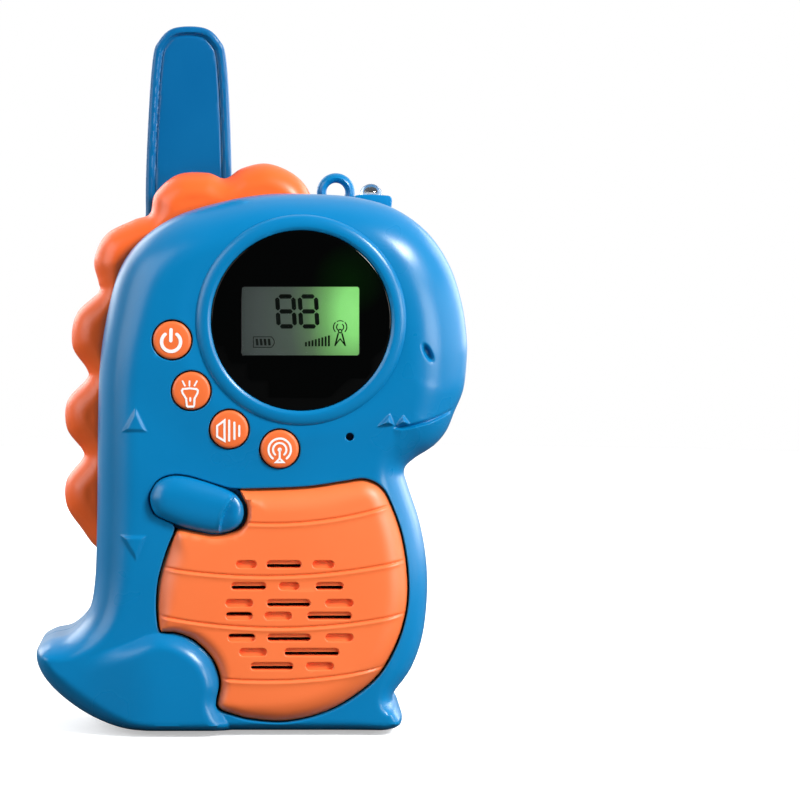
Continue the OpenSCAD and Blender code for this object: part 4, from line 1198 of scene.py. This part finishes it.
carved = bpy.data.meshes.new_from_object(rear_case.evaluated_get(bpy.context.evaluated_depsgraph_get()))
rear_case.modifiers.clear()
rear_case.data = carved
bpy.data.objects.remove(cutter)

# Battery door: a flat blue moulded cover in the back, with five grip grooves. It is held by a tab
# and one screw, whose head sits in a round seat.
door_fence = fence(door_loop)
screw_x, _, screw_z = middle_of("door_screw")
groove_floor, seat_floor, door_back = 16.3 * mm, 15.9 * mm, 14.9 * mm


def door_height(x, z):
    inside = max(door_fence(x, z)[0], 0) / mm
    return (16.55 + 0.45 * rolled(inside, 0.6)) * mm


door_holes = [(slot_loop(screw_x / mm, z, 12, 1.2), lips_back(soft_lip(0.3 * mm, 3)))
              for z in range(18, 31, 3)]
door_holes.append((round_loop(screw_x, screw_z, 2.45 * mm, 48), lips_back(soft_lip(0.25 * mm, 3))))
door_shape = bmesh.new()
edge_ring, mouths = relief(door_shape, door_loop, [0.05 * mm, 0.18 * mm, 0.36 * mm, 0.6 * mm], door_holes,
                           2 * mm, door_height)
for ring in mouths[:-1]:
    cap(door_shape, back_to(door_shape, ring, groove_floor))
ring = back_to(door_shape, mouths[-1], seat_floor)
ring = sideways(door_shape, ring, round_loop(screw_x, screw_z, 1.25 * mm, 48), seat_floor)
ring = back_to(door_shape, ring, door_back)
edge_ring = back_to(door_shape, edge_ring, door_back)
fill_flat(door_shape, ring_edges(door_shape, edge_ring) + ring_edges(door_shape, ring), -1)
door = piece(door_shape, "door_cover", "battery_door", case_blue)
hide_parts("battery_door")

# Belt clip: a blue sprung tongue with a hooked foot and a ribbed thumb pad, which turns on a steel
# pin between the two ears of a bracket on the back.
pivot_y, pivot_z = 21.2, 97.0
clip_mid = 3.0


def profile_bar(bm, outline, first, last, radius):
    """A bar along X with an outline of [y, z] points in mm and rounded end edges."""
    face = bm.faces.new([bm.verts.new((first * mm, y * mm, z * mm)) for y, z in outline])
    far = thicken(bm, [face], ((last - first) * mm, 0, 0))
    rims = {e for v in far for e in v.link_edges if all(w in far for w in e.verts)} | set(face.edges)
    bmesh.ops.bevel(bm, geom=list(rims), offset=radius * mm, segments=3, profile=0.5, affect="EDGES",
                    material=-1, clamp_overlap=True)


clip_shape = bmesh.new()
tongue = corner_loop([[-3.5, 71.5, 2.4], [9.5, 71.5, 2.4], [9.5, 92.6, 1], [8.5, 94.2, 1],
                      [8.5, 106, 2.6], [-2.5, 106, 2.6], [-2.5, 94.2, 1], [-3.5, 92.6, 1]], 6)
plate(clip_shape, in_mm(tongue), 21.8, 23.55)
rims = [e for e in clip_shape.edges if abs(e.verts[0].co.y - e.verts[1].co.y) < 1e-6]
bmesh.ops.bevel(clip_shape, geom=rims, offset=0.5 * mm, segments=4, profile=0.5, affect="EDGES", material=-1)
for first, last in ((-5.5, -2.4), (2.4, 5.5)):
    profile_bar(clip_shape, arc(pivot_y, pivot_z, 2.2, 0, 345, 23), clip_mid + first, clip_mid + last, 0.25)
soft_block(clip_shape, (-3.4, 18.25, 73.5), (9.4, 22.4, 75.1), 0.4)
for z in (100.2, 101.9, 103.6):
    soft_block(clip_shape, (-0.9, 23.1, z - 0.45), (6.9, 23.95, z + 0.45), 0.35, 3)
clip = piece(clip_shape, "clip_tongue", "belt_clip", case_blue, 40)
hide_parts("belt_clip")

bracket_shape = bmesh.new()
soft_block(bracket_shape, (-5, 16.9, 92), (11, 18.2, 102), 0.5)
ear = arc(pivot_y, pivot_z, 2.6, -62, 62, 12) + [(17.6, 101.4), (17.6, 92.6)]
for ear_mid in (clip_mid - 6.9, clip_mid + 6.9):
    profile_bar(bracket_shape, ear, ear_mid - 1.1, ear_mid + 1.1, 0.35)
bracket = piece(bracket_shape, "clip_mount", "case", case_blue, 40)
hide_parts("clip_bracket")

# Inside parts and screws: boards, loudspeaker, battery tray, cells and springs. Their shapes are the
# frame's own, and each gets the finish of the real thing.
cloth_black, tree, shader = start_finish("cloth_black", {"Roughness": 0.95, "Specular IOR Level": 0.1})
place = add_node(tree, "TexCoord")
weave = add_node(tree, "Math")
weave.operation = "MULTIPLY"
for number, direction in enumerate(("X", "Z")):
    threads = add_node(tree, "TexWave", {"Scale": 520})
    threads.bands_direction = direction
    wire(tree, (place, "Object", threads, "Vector"), (threads, "Fac", weave, number))
tone = shaded(tree, [(0.0, (0.002, 0.002, 0.002)), (1.0, (0.022, 0.021, 0.021))])
bump = add_node(tree, "Bump", {"Strength": 0.5, "Distance": 0.05 * mm})
wire(tree, (weave, "Value", tone, "Fac"), (tone, "Color", shader, "Base Color"),
     (weave, "Value", bump, "Height"), (bump, "Normal", shader, "Normal"))

finishes = {
    moulded("backlight_white", (0.72, 0.74, 0.70), (0.85, 0.87, 0.82), rough=0.5):
        ["lcd_backlight"],
    moulded("switch_black", (0.010, 0.010, 0.011), (0.04, 0.04, 0.042), rough=0.45):
        ["front_switches", "side_switches", "board_chips", "microphone", "power_plunger", "torch_plunger",
         "volume_plunger", "signal_plunger", "talk_plunger", "up_plunger", "down_plunger"],
    cloth_black: ["speaker_cloth"],
    moulded("cone_paper", (0.030, 0.027, 0.024), (0.06, 0.055, 0.05), rough=0.85, grain=3, specular=0.2):
        ["speaker_cone"],
    bright_steel: ["speaker_frame", "battery_springs", "battery_contacts", "door_screw", "clip_pin",
                   "clip_spring", "case_screws", "rf_shield"],
    metal("magnet_steel", (0.34, 0.34, 0.35), 0.4): ["speaker_magnet"],
    moulded("board_green", (0.006, 0.09, 0.030), (0.02, 0.17, 0.06), rough=0.3): ["main_board", "side_board"],
    metal("coil_copper", (0.86, 0.42, 0.20), 0.25): ["antenna_coil"],
    moulded("lead_red", (0.45, 0.012, 0.010), (0.62, 0.03, 0.02), rough=0.5):
        ["speaker_leads", "battery_leads"],
    moulded("tray_black", (0.012, 0.012, 0.013), (0.04, 0.04, 0.04), rough=0.5): ["battery_tray"],
    moulded("cell_wrap", (0.55, 0.57, 0.60), (0.75, 0.76, 0.78), rough=0.3): ["battery_cells"],
}
for finish, names in finishes.items():
    for name in names:
        for place in nodes[name].material_slots:
            place.material = finish
